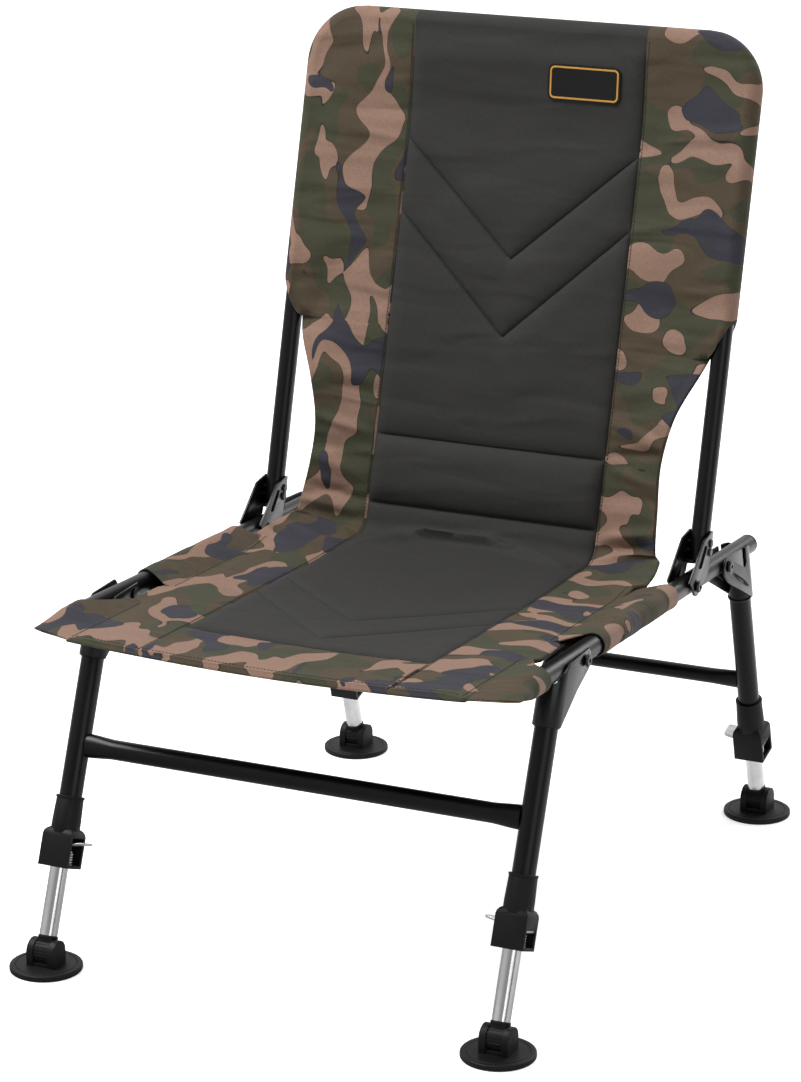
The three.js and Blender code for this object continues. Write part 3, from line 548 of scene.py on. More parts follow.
class NodeSheet:
    """A node tree with short calls for the nodes that the finishes share."""

    def __init__(self, tree: bpy.types.NodeTree) -> None:
        """Starts on a tree and empties it."""
        self.tree = tree
        tree.nodes.clear()

    def add(self, kind: str, inputs: dict | None = None, **settings: object) -> bpy.types.Node:
        """Adds a node, sets its properties and feeds its inputs.

        Args:
            kind: the node's type.
            inputs: sockets or values by input.
            settings: the node's properties.

        Returns:
            The node.
        """
        node = self.tree.nodes.new(kind)
        for key, value in settings.items():
            setattr(node, key, value)
        return self.fill(node, inputs or {})

    def fill(self, node: bpy.types.Node, inputs: dict) -> bpy.types.Node:
        """Feeds a node's inputs, by name or number, with sockets or values.

        Args:
            node: the node.
            inputs: sockets or values by input.

        Returns:
            The node.
        """
        for key, value in inputs.items():
            self.feed(value, node.inputs[key])
        return node

    def math(self, operation: str, *values: object) -> Socket:
        """A Math node on sockets or numbers, and its output.

        Args:
            operation: the operation.
            values: its sockets or numbers.

        Returns:
            The output.
        """
        node = self.add("ShaderNodeMath", operation=operation)
        for socket, value in zip(node.inputs, values):
            self.feed(value, socket)
        return node.outputs[0]

    def feed(self, value: object, socket: Socket) -> None:
        """Links a socket, or sets a number or colour.

        Args:
            value: the socket or the value.
            socket: the input.
        """
        if isinstance(value, Socket):
            self.tree.links.new(value, socket)
        else:
            socket.default_value = value

    def noise(self, vector: Socket, scale: object, detail: float = 2, **extra: float) -> bpy.types.Node:
        """A noise texture on a vector."""
        return self.add("ShaderNodeTexNoise", {"Vector": vector, "Scale": scale, "Detail": detail, **extra})

    def stretch(self, vector: Socket, scale: tuple, shift: tuple = (0, 0, 0)) -> Socket:
        """A vector times a scale plus a shift."""
        return self.vector("MULTIPLY_ADD", {0: vector, 1: scale, 2: shift})

    def vector(self, operation: str, inputs: dict) -> Socket:
        """A Vector Math node, and its output."""
        return self.add("ShaderNodeVectorMath", inputs, operation=operation).outputs[0]

    def blend(self, factor: object, first: object, second: object) -> Socket:
        """A colour mix.

        Args:
            factor: the share of the second colour.
            first: the first colour.
            second: the second colour.

        Returns:
            The output.
        """
        node = self.add("ShaderNodeMix", data_type="RGBA")
        for key, value in (("Factor_Float", factor), ("A_Color", first), ("B_Color", second)):
            socket = next(each for each in node.inputs if each.identifier == key)
            self.feed(value, socket)
        return next(each for each in node.outputs if each.identifier == "Result_Color")

    def ramp(self, value: Socket, low: float, high: float, to_low: float = 0, to_high: float = 1) -> Socket:
        """A clamped, smooth map of a value's range."""
        inputs = {"Value": value, "From Min": low, "From Max": high, "To Min": to_low, "To Max": to_high}
        return self.add("ShaderNodeMapRange", inputs, interpolation_type="SMOOTHSTEP").outputs["Result"]

    def parts(self, vector: Socket) -> tuple:
        """X, Y and Z of a vector."""
        return tuple(self.add("ShaderNodeSeparateXYZ", {0: vector}).outputs)

    def bump(self, height: Socket, distance: float, **extra: object) -> Socket:
        """A normal from a height."""
        return self.add("ShaderNodeBump", {"Distance": distance, "Height": height, **extra}).outputs[0]


def new_surface(name: str) -> tuple:
    """Makes a material with an empty shader.

    Args:
        name: the material's name.

    Returns:
        The material, its sheet and its shader.
    """
    material = bpy.data.materials.new(name)
    material.use_nodes = True
    sheet = NodeSheet(material.node_tree)
    shader = sheet.add("ShaderNodeBsdfPrincipled")
    sheet.add("ShaderNodeOutputMaterial", {0: shader.outputs[0]})
    return material, sheet, shader


def new_group(name: str, inputs: Sequence[tuple], outputs: Sequence[tuple]) -> tuple:
    """Makes an empty node group.

    Args:
        name: the group's name.
        inputs: (name, socket type, default) of each input.
        outputs: (name, socket type) of each output.

    Returns:
        The group, its sheet, its input node and its output node.
    """
    group = bpy.data.node_groups.new(name, "ShaderNodeTree")
    sheet = NodeSheet(group)
    for label, kind, default in inputs:
        socket = group.interface.new_socket(label, in_out="INPUT", socket_type=kind)
        if default is not None:
            socket.default_value = default
    for label, kind in outputs:
        group.interface.new_socket(label, in_out="OUTPUT", socket_type=kind)
    entry = sheet.add("NodeGroupInput")
    leave = sheet.add("NodeGroupOutput")
    return group, sheet, entry, leave


SLUB_SCALES = ((180, 1100, 1), (1100, 180, 1))
DRAPE_SCALE = (8, 26, 1)


def weave_group() -> bpy.types.NodeTree:
    """Plain weave of coated polyester, on a cloth map in metres.

    Returns:
        The group: Map and Pitch go in, Height, Shade and Drape come out.
    """
    inputs = [("Map", "NodeSocketVector", None), ("Pitch", "NodeSocketFloat", 0.9 * MM)]
    outputs = [("Height", "NodeSocketFloat"), ("Shade", "NodeSocketFloat"), ("Drape", "NodeSocketFloat")]
    group, sheet, entry, leave = new_group("plain_weave", inputs, outputs)
    place = entry.outputs["Map"]
    turn = sheet.math("DIVIDE", 2 * math.pi, entry.outputs["Pitch"])
    warp, weft = (sheet.math("SINE", sheet.math("MULTIPLY", each, turn)) for each in sheet.parts(place)[:2])
    threads = sheet.math("MULTIPLY", warp, weft)
    slubs = [sheet.noise(sheet.stretch(place, scale), 1).outputs[0] for scale in SLUB_SCALES]
    slub = sheet.math("MULTIPLY", sheet.math("ADD", *slubs), 0.5)
    drape = sheet.noise(sheet.stretch(place, DRAPE_SCALE), 1, 1.5, Distortion=0.6)
    results = {
        "Height": sheet.math("MULTIPLY_ADD", threads, 0.5, slub),
        "Shade": sheet.ramp(slub, 0.35, 0.65, 0.9, 1.1),
        "Drape": drape.outputs[0],
    }
    sheet.fill(leave, results)
    return group


def wear_group() -> bpy.types.NodeTree:
    """Fine unevenness of a coat or a moulding, on Object coordinates.

    Returns:
        The group: Grain goes in, Height and Patch come out.
    """
    inputs = [("Grain", "NodeSocketFloat", 900.0), ("Patch Scale", "NodeSocketFloat", 18.0)]
    outputs = [("Height", "NodeSocketFloat"), ("Patch", "NodeSocketFloat")]
    group, sheet, entry, leave = new_group("surface_grain", inputs, outputs)
    place = sheet.add("ShaderNodeTexCoord").outputs["Object"]
    grain = sheet.noise(place, entry.outputs["Grain"], 3)
    patch = sheet.noise(place, entry.outputs["Patch Scale"], 3)
    sheet.fill(leave, {"Height": grain.outputs[0], "Patch": sheet.ramp(patch.outputs[0], 0.3, 0.7)})
    return group


@dataclass(frozen=True)
class HardFinish:
    """A coated, plated or moulded surface."""

    name: str
    colour: tuple
    patch_colour: tuple
    roughness: float
    patch_roughness: float
    metallic: float = 0
    specular: float = 0.5
    grain: float = 900
    grain_depth: float = 0.02 * MM
    patch_scale: float = 18

    def material(self, grain_group: bpy.types.NodeTree) -> bpy.types.Material:
        """Builds the material.

        Args:
            grain_group: the shared grain group.

        Returns:
            The material.
        """
        material, sheet, shader = new_surface(self.name)
        scales = {"Grain": self.grain, "Patch Scale": self.patch_scale}
        grain = sheet.add("ShaderNodeGroup", scales, node_tree=grain_group)
        patch = grain.outputs["Patch"]
        span = self.patch_roughness - self.roughness
        inputs = {
            "Base Color": sheet.blend(patch, (*self.colour, 1), (*self.patch_colour, 1)),
            "Roughness": sheet.math("MULTIPLY_ADD", patch, span, self.roughness),
            "Metallic": self.metallic,
            "Specular IOR Level": self.specular,
            "Normal": sheet.bump(grain.outputs["Height"], self.grain_depth),
        }
        sheet.fill(shader, inputs)
        return material


@dataclass(frozen=True)
class PlainCloth:
    """Woven polyester in one colour."""

    name: str
    colour: tuple
    roughness: float = 0.78
    specular: float = 0.22
    sheen: float = 0.03
    sheen_roughness: float = 0.45
    pitch: float = 0.9 * MM
    depth: float = 0.12 * MM
    depth_strength: float = 0.6
    drape: float = 5 * MM
    cloud_scale: float = 14
    cloud_gain: float = 1.16

    def colours(self, sheet: NodeSheet, place: Socket) -> Socket:
        """The cloth's dye, faintly uneven over a hand's width.

        Args:
            sheet: the material's sheet.
            place: the cloth map.

        Returns:
            The colour.
        """
        cloud = sheet.noise(place, self.cloud_scale, 3)
        lighter = tuple(min(1, self.cloud_gain * part) for part in self.colour)
        return sheet.blend(cloud.outputs[0], (*self.colour, 1), (*lighter, 1))

    def material(self, weave: bpy.types.NodeTree) -> bpy.types.Material:
        """Builds the material on the cloth map.

        Args:
            weave: the shared weave group.

        Returns:
            The material.
        """
        material, sheet, shader = new_surface(self.name)
        place = sheet.add("ShaderNodeUVMap", uv_map="cloth").outputs[0]
        threads = sheet.add("ShaderNodeGroup", {"Pitch": self.pitch, "Map": place}, node_tree=weave)
        dyed = {0: self.colours(sheet, place), "Scale": threads.outputs["Shade"]}
        drape = sheet.bump(threads.outputs["Drape"], self.drape)
        inputs = {
            "Base Color": sheet.vector("SCALE", dyed),
            "Roughness": self.roughness,
            "Specular IOR Level": self.specular,
            "Sheen Weight": self.sheen,
            "Sheen Roughness": self.sheen_roughness,
            "Normal": sheet.bump(
                threads.outputs["Height"], self.depth, Strength=self.depth_strength, Normal=drape
            ),
        }
        sheet.fill(shader, inputs)
        return material


@dataclass(frozen=True)
class CamoLayer:
    """One printed colour of a camouflage pattern: its patches lie where a warped noise is high."""

    colour: tuple
    scale: float
    threshold: float
    shift: tuple
    outline: float = 0


@dataclass(frozen=True)
class CamoCloth(PlainCloth):
    """Woven polyester printed with woodland camouflage."""

    layers: tuple = ()
    outline_colour: tuple = (0.022, 0.018, 0.014)
    flatten: tuple = (1.3, 0.66, 1.0)
    warp_scale: float = 20
    warp_detail: float = 0.6
    warp_depth: float = 0.036
    detail: float = 0.5
    distortion: float = 0.3
    edge: float = 0.004
    cut_half: float = 126 * MM
    right_shift: tuple = (0.83, 0.55, 0)
    middle_shift: tuple = (0.37, 0.21, 0)

    def cut(self, sheet: NodeSheet, place: Socket) -> Socket:
        """The print's own map: three cut pieces, of which the right side lies across the roll.

        Args:
            sheet: the material's sheet.
            place: the cloth map.

        Returns:
            The print's map.
        """
        across, up, _ = sheet.parts(place)
        turned = sheet.add("ShaderNodeCombineXYZ", {0: up, 1: across})
        right = sheet.math("GREATER_THAN", across, self.cut_half)
        middle = sheet.math("LESS_THAN", sheet.math("ABSOLUTE", across), self.cut_half)
        sides = sheet.blend(right, place, sheet.stretch(turned.outputs[0], (1, 1, 1), self.right_shift))
        return sheet.blend(middle, sides, sheet.stretch(place, (1, 1, 1), self.middle_shift))

    def colours(self, sheet: NodeSheet, place: Socket) -> Socket:
        """The print: patches over the ground colour, some with a thin dark edge.

        Args:
            sheet: the material's sheet.
            place: the cloth map.

        Returns:
            The colour.
        """
        colour = PlainCloth.colours(self, sheet, place)
        place = self.cut(sheet, place)
        warp = sheet.noise(place, self.warp_scale, self.warp_detail).outputs["Color"]
        centred = sheet.vector("SUBTRACT", {0: warp, 1: (0.5, 0.5, 0.5)})
        push = sheet.vector("SCALE", {0: centred, "Scale": self.warp_depth})
        flat = sheet.stretch(sheet.vector("ADD", {0: place, 1: push}), self.flatten)
        for layer in self.layers:
            shifted = sheet.stretch(flat, (1, 1, 1), layer.shift)
            patches = sheet.noise(shifted, layer.scale, self.detail, Distortion=self.distortion).outputs[0]
            if layer.outline:
                low = layer.threshold - layer.outline
                line = sheet.ramp(patches, low - self.edge, low)
                colour = sheet.blend(line, colour, (*self.outline_colour, 1))
            inside = sheet.ramp(patches, layer.threshold - self.edge, layer.threshold)
            colour = sheet.blend(inside, colour, (*layer.colour, 1))
        return colour


HARD_FINISHES = {
    "tube": HardFinish(
        "satin_black_coat", (0.002, 0.002, 0.0024), (0.003, 0.003, 0.0034),
        0.27, 0.36, specular=0.26, grain=1400,
    ),
    "bracket": HardFinish(
        "dark_grey_coat", (0.003, 0.003, 0.0037), (0.005, 0.005, 0.006),
        0.25, 0.36, specular=0.36,
    ),
    "plastic": HardFinish(
        "moulded_nylon", (0.0045, 0.0045, 0.005), (0.007, 0.007, 0.007),
        0.46, 0.58, specular=0.22, grain=2200, grain_depth=0.05 * MM,
    ),
    "chrome": HardFinish(
        "bright_plating", (0.80, 0.80, 0.82), (0.68, 0.68, 0.69),
        0.1, 0.2, metallic=1, grain=500, grain_depth=0.004 * MM, patch_scale=45,
    ),
    # A brighter, less metallic copy of the zinc plating for the spring: its colour is painted lighter to
    # offset the shade inside the housing.
    "spring": HardFinish(
        "spring_wire", (0.9, 0.9, 0.88), (0.78, 0.78, 0.76),
        0.35, 0.5, metallic=0.55, patch_scale=90,
    ),
    "zinc": HardFinish(
        "zinc_plating", (0.6, 0.61, 0.6), (0.48, 0.49, 0.47),
        0.26, 0.38, metallic=1, patch_scale=90,
    ),
    "bolt": HardFinish(
        "blackened_steel", (0.05, 0.05, 0.055), (0.035, 0.035, 0.038),
        0.3, 0.4, metallic=0.7, patch_scale=120,
    ),
    "rubber": HardFinish(
        "patch_rubber", (0.004, 0.004, 0.0044), (0.006, 0.006, 0.006),
        0.5, 0.6, specular=0.25, grain=1800,
    ),
    "gold": HardFinish(
        "gold_print", (0.62, 0.33, 0.06), (0.55, 0.28, 0.05),
        0.42, 0.5, metallic=0.2,
    ),
    "thread": HardFinish(
        "black_thread", (0.008, 0.008, 0.009), (0.012, 0.012, 0.012),
        0.7, 0.8, grain=3000,
    ),
}
CLOTHS = {
    "panel": PlainCloth("charcoal_polyester", (0.0262, 0.0256, 0.0238)),
    "lining": PlainCloth("black_lining", (0.010, 0.010, 0.011)),
    "camo": CamoCloth(
        "woodland_polyester",
        (0.044, 0.045, 0.026),
        drape=11 * MM,
        layers=(
            CamoLayer((0.068, 0.050, 0.031), 19, 0.48, (0.0, 0.0, 0.2)),
            CamoLayer((0.245, 0.152, 0.112), 22, 0.555, (3.1, 1.7, 0.5), outline=0.006),
            CamoLayer((0.034, 0.033, 0.044), 20, 0.62, (6.3, 4.2, 0.8), outline=0.004),
        ),
    ),
}


class Palette:
    """All materials of the chair, each built once."""

    def __init__(self) -> None:
        """Builds the shared groups and the materials."""
        for finishes, group in ((HARD_FINISHES, wear_group()), (CLOTHS, weave_group())):
            for key, finish in finishes.items():
                setattr(self, key, finish.material(group))


@dataclass
class Maker:
    """What makes pieces, with the chair's materials at hand."""

    palette: Palette


# Cover


def eased(place: Array, places: Sequence[float], values: Sequence[float]) -> Array:
    """A smooth curve through given values, flat beyond its ends.

    Args:
        place: where to read the curve.
        places: the places of the given values, rising.
        values: the given values.

    Returns:
        The curve's value at each place.
    """
    knots = np.asarray(places, float)
    heights = np.asarray(values, float)
    slopes = np.gradient(heights, knots)
    at = np.clip(np.asarray(place, float), knots[0], knots[-1])
    left = np.clip(np.searchsorted(knots, at, side="right") - 1, 0, len(knots) - 2)
    span = knots[left + 1] - knots[left]
    share = (at - knots[left]) / span
    cubed, squared = share**3, share**2
    return (
        (2 * cubed - 3 * squared + 1) * heights[left]
        + (cubed - 2 * squared + share) * span * slopes[left]
        + (3 * squared - 2 * cubed) * heights[left + 1]
        + (cubed - squared) * span * slopes[left + 1]
    )


def rounded(share: Array) -> Array:
    """A quarter round: 0 at 0, 1 at 1 and steep at first."""
    return np.sqrt(np.clip(1 - (1 - share) ** 2, 0, 1))


def smooth_step(value: Array, low: float, high: float) -> Array:
    """0 below low, 1 above high and smooth between."""
    share = np.clip((np.asarray(value, float) - low) / (high - low), 0, 1)
    return share * share * (3 - 2 * share)


@dataclass(frozen=True)
class Fold:
    """A soft crease or ridge in the cloth, from one place to another on the cloth map."""

    start: tuple
    end: tuple
    height: float
    width: float

    def rise(self, across: Array, along: Array) -> Array:
        """The fold's height over the cloth at each place.

        Args:
            across: distance across from the middle.
            along: place along the sheet.

        Returns:
            The height at each place.
        """
        run = np.subtract(self.end, self.start)
        length = float(np.hypot(*run))
        unit = run / length
        dx, dq = across - self.start[0], along - self.start[1]
        forward = (dx * unit[0] + dq * unit[1]) / length
        aside = dx * unit[1] - dq * unit[0]
        taper = np.sin(np.pi * np.clip(forward, 0, 1)) ** 0.7
        return self.height * taper * np.exp(-((aside / self.width) ** 2))


@dataclass(frozen=True)
class Chevron:
    """A V of stitches across the panel: the heights of its two ends and of its point."""

    ends: float
    point: float


@dataclass
class SlingCover(Maker):
    """The padded cover: one sheet of two layers from the front of the seat, round the crease and up
    to the top of the back, with sleeves for the rails. Places along it run from the front pivot, and
    follow the curve of the crease on to the back."""

    fabric_half: float = 2 * MM
    panel_half: float = 126 * MM
    crease_radius: float = 22 * MM
    seat_front: float = -167 * MM
    seat_front_half: float = 198 * MM
    sleeve_root: float = 201 * MM
    seat_gap_half: float = 211 * MM
    front_sleeve: tuple = (-166 * MM, -27 * MM)
    rear_sleeve: tuple = (33 * MM, 236 * MM)
    waist_start: float = 262 * MM
    sleeve_radius: float = 12.4 * MM
    front_seam: float = -72 * MM
    seat_chevrons: tuple = (Chevron(69 * MM, -44 * MM), Chevron(131 * MM, 24 * MM))
    back_chevrons: tuple = (Chevron(340 * MM, 221 * MM), Chevron(414 * MM, 300 * MM))
    lumbar: tuple = (40 * MM, 110 * MM)
    back_waist: tuple = (
        (25 * MM, 195 * MM),
        (61 * MM, 191 * MM),
        (117 * MM, 189 * MM),
        (159 * MM, 198 * MM),
        (211 * MM, 219 * MM),
        (221 * MM, 222 * MM),
    )
    back_sleeve_foot: float = 221 * MM
    mouth_inset: float = 222 * MM
    mouth_rise: float = 42 * MM
    mouth_reach: float = 31 * MM
    mouth_fade: float = 100 * MM
    edge_lift: tuple = (
        (-110 * MM, 0),
        (-40 * MM, 10 * MM),
        (25 * MM, 18 * MM),
        (70 * MM, 13 * MM),
        (120 * MM, 13 * MM),
        (165 * MM, 15 * MM),
        (205 * MM, 7 * MM),
        (221 * MM, 0),
    )
    hem_width: float = 7 * MM
    hem_rise: float = 0.5 * MM
    bend_radius: float = STANCE.back_bend
    seat_sag: float = 6 * MM
    back_sag: float = 5 * MM
    sag_ease: float = 120 * MM
    top_ease: float = 90 * MM
    pad_rise: tuple = (3.2 * MM, 2.7 * MM, 4.2 * MM)
    pad_round: tuple = (13 * MM, 10 * MM, 8 * MM)
    pad_side: float = 16 * MM
    flank_rise: float = 2.2 * MM
    flank_round: float = 14 * MM
    flank_fall: float = 22 * MM
    border_ease: float = 110 * MM
    front_border: tuple = (26 * MM, 80 * MM)
    rear_border: tuple = (24 * MM, 60 * MM)
    pad_from: float = 0.35
    rear_pad: float = 0.3
    rear_crease: float = 0.6
    panel_columns: int = 30
    side_columns: int = 26
    rim_steps: int = 8
    row_spacing: float = 3.7 * MM
    row_evenness: float = 0.5

    def __post_init__(self) -> None:
        """Works out the path of the sheet in side view and its seams."""
        slope = STANCE.rail_slope
        lean = math.pi / 2 + STANCE.back_lean
        self.seat_way = np.array([math.cos(slope), math.sin(slope)])
        self.back_way = np.array([math.cos(lean), math.sin(lean)])
        self.turn = lean - slope
        front = np.array([STANCE.front_pivot.y, STANCE.front_pivot.z])
        hinge = np.array([STANCE.back_pivot.y, STANCE.back_pivot.z])
        back_start = hinge + STANCE.back_offset * np.array([self.back_way[1], -self.back_way[0]])
        sides = np.column_stack([self.seat_way, -self.back_way])
        reach, rise = np.linalg.solve(sides, back_start - front)
        tangent = self.crease_radius * math.tan(self.turn / 2)
        self.origin = front
        self.seat_end = reach - tangent
        self.back_foot = rise + tangent
        self.back_from = self.seat_end + self.crease_radius * self.turn
        self.top = self.on_back(STANCE.back_top)
        self.shoulder = self.on_back(STANCE.back_top - self.bend_radius)
        self.sleeve_from = self.on_back(self.back_sleeve_foot)

    def on_back(self, height: float) -> float:
        """Place along the sheet of a height up the back."""
        return self.back_from + height - self.back_foot

    def seams(self) -> list:
        """(place at the sides, place in the middle) of each line that the rows follow.

        Returns:
            The lines from the front to the top.
        """
        return [
            (self.seat_front, self.seat_front),
            (self.front_seam, self.front_seam),
            *((each.ends, each.point) for each in self.seat_chevrons),
            (self.seat_end, self.seat_end),
            *((self.on_back(each), self.on_back(each)) for each in self.lumbar),
            *((self.on_back(each.ends), self.on_back(each.point)) for each in self.back_chevrons),
            (self.top, self.top),
        ]

    def sewn(self) -> list:
        """The seams that are stitched, and the top."""
        return [pair for pair in self.seams()[1:] if pair[0] != self.seat_end]

    def point(self, across: Array, along: Array, out: Array) -> Array:
        """Places on the sheet in the chair's space.

        Args:
            across: distance across from the middle.
            along: place along the sheet.
            out: distance out of its upper and front face.

        Returns:
            One row of X, Y, Z for each place.
        """
        across, along, out = np.broadcast_arrays(across, along, out)
        seat_up = np.array([-self.seat_way[1], self.seat_way[0]])
        on_seat = np.minimum(along, self.seat_end)
        angle = np.clip((along - self.seat_end) / self.crease_radius, 0, self.turn)
        on_back = np.maximum(along - self.back_from, 0)
        centre = self.origin + self.seat_end * self.seat_way + self.crease_radius * seat_up
        way = np.cos(angle)[..., None] * self.seat_way + np.sin(angle)[..., None] * seat_up
        up = np.stack([-way[..., 1], way[..., 0]], axis=-1)
        straight = self.origin + on_seat[..., None] * self.seat_way
        bent = centre - self.crease_radius * up + on_back[..., None] * self.back_way
        base = np.where((along > self.seat_end)[..., None], bent, straight) + out[..., None] * up
        return np.stack([across, base[..., 0], base[..., 1]], axis=-1).reshape(-1, 3)

    def half(self, along: Array) -> Array:
        """Half width of the sheet at each place.

        Args:
            along: place along the sheet.

        Returns:
            The half width.
        """
        step, root, gap = 2 * MM, self.sleeve_root, self.seat_gap_half
        seat = [(self.seat_front, self.seat_front_half), (self.front_sleeve[0], root)]
        turns = ((self.front_sleeve[1], root, gap), (self.rear_sleeve[0], gap, root))
        for place, before, after in (*turns, (self.rear_sleeve[1], root, gap)):
            seat += [(place - step, before), (place + step, after)]
        low = np.interp(along, *np.array(seat).T)
        waist = [seat[-1], (self.waist_start, gap - 2 * MM)]
        waist += [(self.on_back(height), half) for height, half in self.back_waist]
        half = np.where(along > seat[-1][0], eased(along, *np.array(waist).T), low)
        rise = np.clip(along - self.shoulder, 0, self.bend_radius)
        bend = STANCE.half_track - self.bend_radius + np.sqrt(self.bend_radius**2 - rise**2)
        return np.where(along > self.sleeve_from, bend, half)

    def rim_radius(self, along: Array) -> Array:
        """Radius of the sheet's rolled edge: the tube's sleeve on the back, and a hem elsewhere."""
        return np.where(along > self.sleeve_from, self.sleeve_radius, self.fabric_half)

    def border_distance(self, across: Array, along: Array) -> Array:
        """Distance of a place on the back from the line of the bent tube.

        Args:
            across: distance across from the middle.
            along: place along the sheet.

        Returns:
            The distance.
        """
        straight = STANCE.half_track - np.abs(across)
        corner = np.hypot(
            np.maximum(np.abs(across) - (STANCE.half_track - self.bend_radius), 0),
            np.maximum(along - self.shoulder, 0),
        )
        bend = np.where(corner > 0, self.bend_radius - corner, np.inf)
        return np.minimum(np.minimum(straight, self.top - along), bend)

    def seam_distance(self, across: Array, along: Array) -> Array:
        """Distance of a place from the nearest stitched line of the panel.

        Args:
            across: distance across from the middle.
            along: place along the sheet.

        Returns:
            The distance.
        """
        reach = np.abs(across)
        nearest = np.full(np.shape(reach), np.inf)
        for side, middle in self.sewn():
            lean = (side - middle) / self.panel_half
            gap = np.abs(along - (middle + lean * reach)) / math.hypot(1, lean)
            nearest = np.minimum(nearest, gap)
        return nearest

    def padding(self, across: Array, along: Array) -> Array:
        """Height of the quilted filling over the sheet.

        Args:
            across: distance across from the middle.
            along: place along the sheet.

        Returns:
            The height.
        """
        reach = np.abs(across)
        low, high = (self.on_back(each) for each in self.lumbar)
        roll = smooth_step(along, low - 2 * MM, low) * (1 - smooth_step(along, high, high + 2 * MM))
        on_back = smooth_step(along, self.seat_end, low)
        rise, width = (a + b * on_back + c * roll for a, b, c in (self.pad_rise, self.pad_round))
        share = np.clip(self.seam_distance(across, along) / width, 0, 1)
        side = np.clip((self.panel_half - reach) / self.pad_side, 0, 1)
        padded = (reach < self.panel_half) & (along >= self.front_seam)
        return np.where(padded, rise * (rounded(share) * rounded(side)), 0)

    def flank(self, across: Array, along: Array) -> Array:
        """Fullness of the camouflage sides beside the panel.

        Args:
            across: distance across from the middle.
            along: place along the sheet.

        Returns:
            The height.
        """
        reach = np.abs(across)
        inside = np.clip((reach - self.panel_half) / self.flank_round, 0, 1)
        swell = rounded(inside) * smooth_step((self.half(along) - reach) / self.flank_fall, 0, 1)
        band = np.clip((self.front_seam - along) / self.flank_round, 0, 1) * (reach <= self.panel_half)
        return self.flank_rise * np.where(reach > self.panel_half, swell, smooth_step(band, 0, 1))

    def folds(self) -> tuple:
        """Creases at the bend between seat and back, at the waist and under the sleeves of the tube.

        Returns:
            The folds.
        """
        lines = (
            ((-120, -42), (-48, 10), 7.5, 6.5),
            ((-92, 4), (30, 13), 10.5, 6.5),
            ((6, 13), (116, -27), 9.5, 6.5),
            ((-92, -105), (40, -62), 2.2, 6),
            ((-200, 124), (-128, 108), 4.4, 5),
            ((-200, 96), (-128, 84), -3.2, 5),
            ((-200, 84), (-130, 62), 4.6, 6),
            ((-198, 52), (-128, 40), -4.6, 4.5),
            ((-200, 37), (-130, 27), 5.2, 5),
            ((-204, 6), (-130, -8), 4.0, 6),
            ((-206, -24), (-130, -46), 3.6, 7),
            ((-196, 176), (-130, 158), 3.0, 7),
            ((128, 176), (200, 190), 3.0, 7),
            ((128, 150), (196, 128), 4.4, 6),
            ((128, 116), (194, 124), -4.2, 5),
            ((128, 104), (194, 90), 4.2, 5),
            ((128, 60), (194, 66), 3.2, 6),
            ((128, 33), (196, 45), 5.4, 4.5),
            ((128, 22), (196, 31), -4.8, 4),
            ((130, 6), (200, 14), 5.0, 5),
            ((132, -34), (206, -10), 3.6, 7),
            ((-252, 228), (-124, 230), 3.8, 6),
            ((124, 232), (252, 230), 3.0, 6),
        )
        folds = []
        for *ends, height, width in lines:
            start, end = ((x * MM, self.on_back(z * MM)) for x, z in ends)
            folds.append(Fold(start, end, height * MM, width * MM))
        return tuple(folds)

    def hem(self, across: Array, along: Array) -> Array:
        """Thickness that the turned hem adds beside the free edges.

        Args:
            across: distance across from the middle.
            along: place along the sheet.

        Returns:
            The thickness.
        """
        inset = np.minimum(self.half(along) - np.abs(across), along - self.seat_front)
        edge = 1 - smooth_step(inset, self.hem_width - MM, self.hem_width)
        return np.where(along < self.sleeve_from, self.hem_rise * edge, 0)

    def mouth_lift(self, along: Array, reach: Array) -> Array:
        """How far up the tube the slanted mouth of its sleeve draws the cloth.

        Args:
            along: place along the sheet.
            reach: distance over the cloth from where the slant starts.

        Returns:
            The shift along the sheet.
        """
        fade = 1 - smooth_step(along, self.sleeve_from, self.sleeve_from + self.mouth_fade)
        lift = self.mouth_rise * smooth_step(reach, 0, self.mouth_reach) * fade
        return np.where(along > self.sleeve_from, lift, 0)

    def sag(self, across: Array, along: Array) -> Array:
        """Depth by which the middle of the sling hangs back and its taut waist edges stand forward.

        Args:
            across: distance across from the middle.
            along: place along the sheet.

        Returns:
            The depth.
        """
        share = np.clip(np.abs(across) / self.half(along), 0, 1)
        crease = (self.seat_end + self.back_from) / 2
        depth = np.where(along < crease, self.seat_sag, self.back_sag)
        near = np.clip(np.abs(along - crease) / self.sag_ease, 0, 1)
        top = smooth_step(self.top - along, 0, self.top_ease)
        heights, lifts = np.array(self.edge_lift).T
        lift = eased(along, self.on_back(heights), lifts)
        side = np.clip((np.abs(across) - self.panel_half) / (self.half(along) - self.panel_half), 0, 1)
        return depth * near * top * (1 - share**2) - lift * side**1.6

    def pulled(self, across: Array, along: Array, border: tuple) -> tuple:
        """How the tube's sleeve draws a layer out.

        Args:
            across: distance across from the middle.
            along: place along the sheet.
            border: width of the drawn border at the sleeve's foot, and what it gains above.

        Returns:
            The rise towards the tube, the share of the way out of the border, and the folds' rise.
        """
        growth = smooth_step(along, self.sleeve_from, self.sleeve_from + self.border_ease)
        width = border[0] + border[1] * growth
        share = np.clip(self.border_distance(across, along) / width, 0, 1)
        on_back = along > self.sleeve_from
        flare = np.where(on_back, (self.sleeve_radius - self.fabric_half) * (1 - share) ** 1.25, 0)
        return flare, np.where(on_back, share, 1), sum(fold.rise(across, along) for fold in self.folds())

    def front(self, across: Array, along: Array) -> Array:
        """Offset of the upper and front layer.

        Args:
            across: distance across from the middle.
            along: place along the sheet.

        Returns:
            The offset out of the sheet.
        """
        flare, share, crease = self.pulled(across, along, self.front_border)
        rise = self.padding(across, along) + self.flank(across, along)
        rise = rise * smooth_step(share, 0, self.pad_from) + (crease + self.hem(across, along))
        return self.fabric_half + flare + rise - self.sag(across, along)

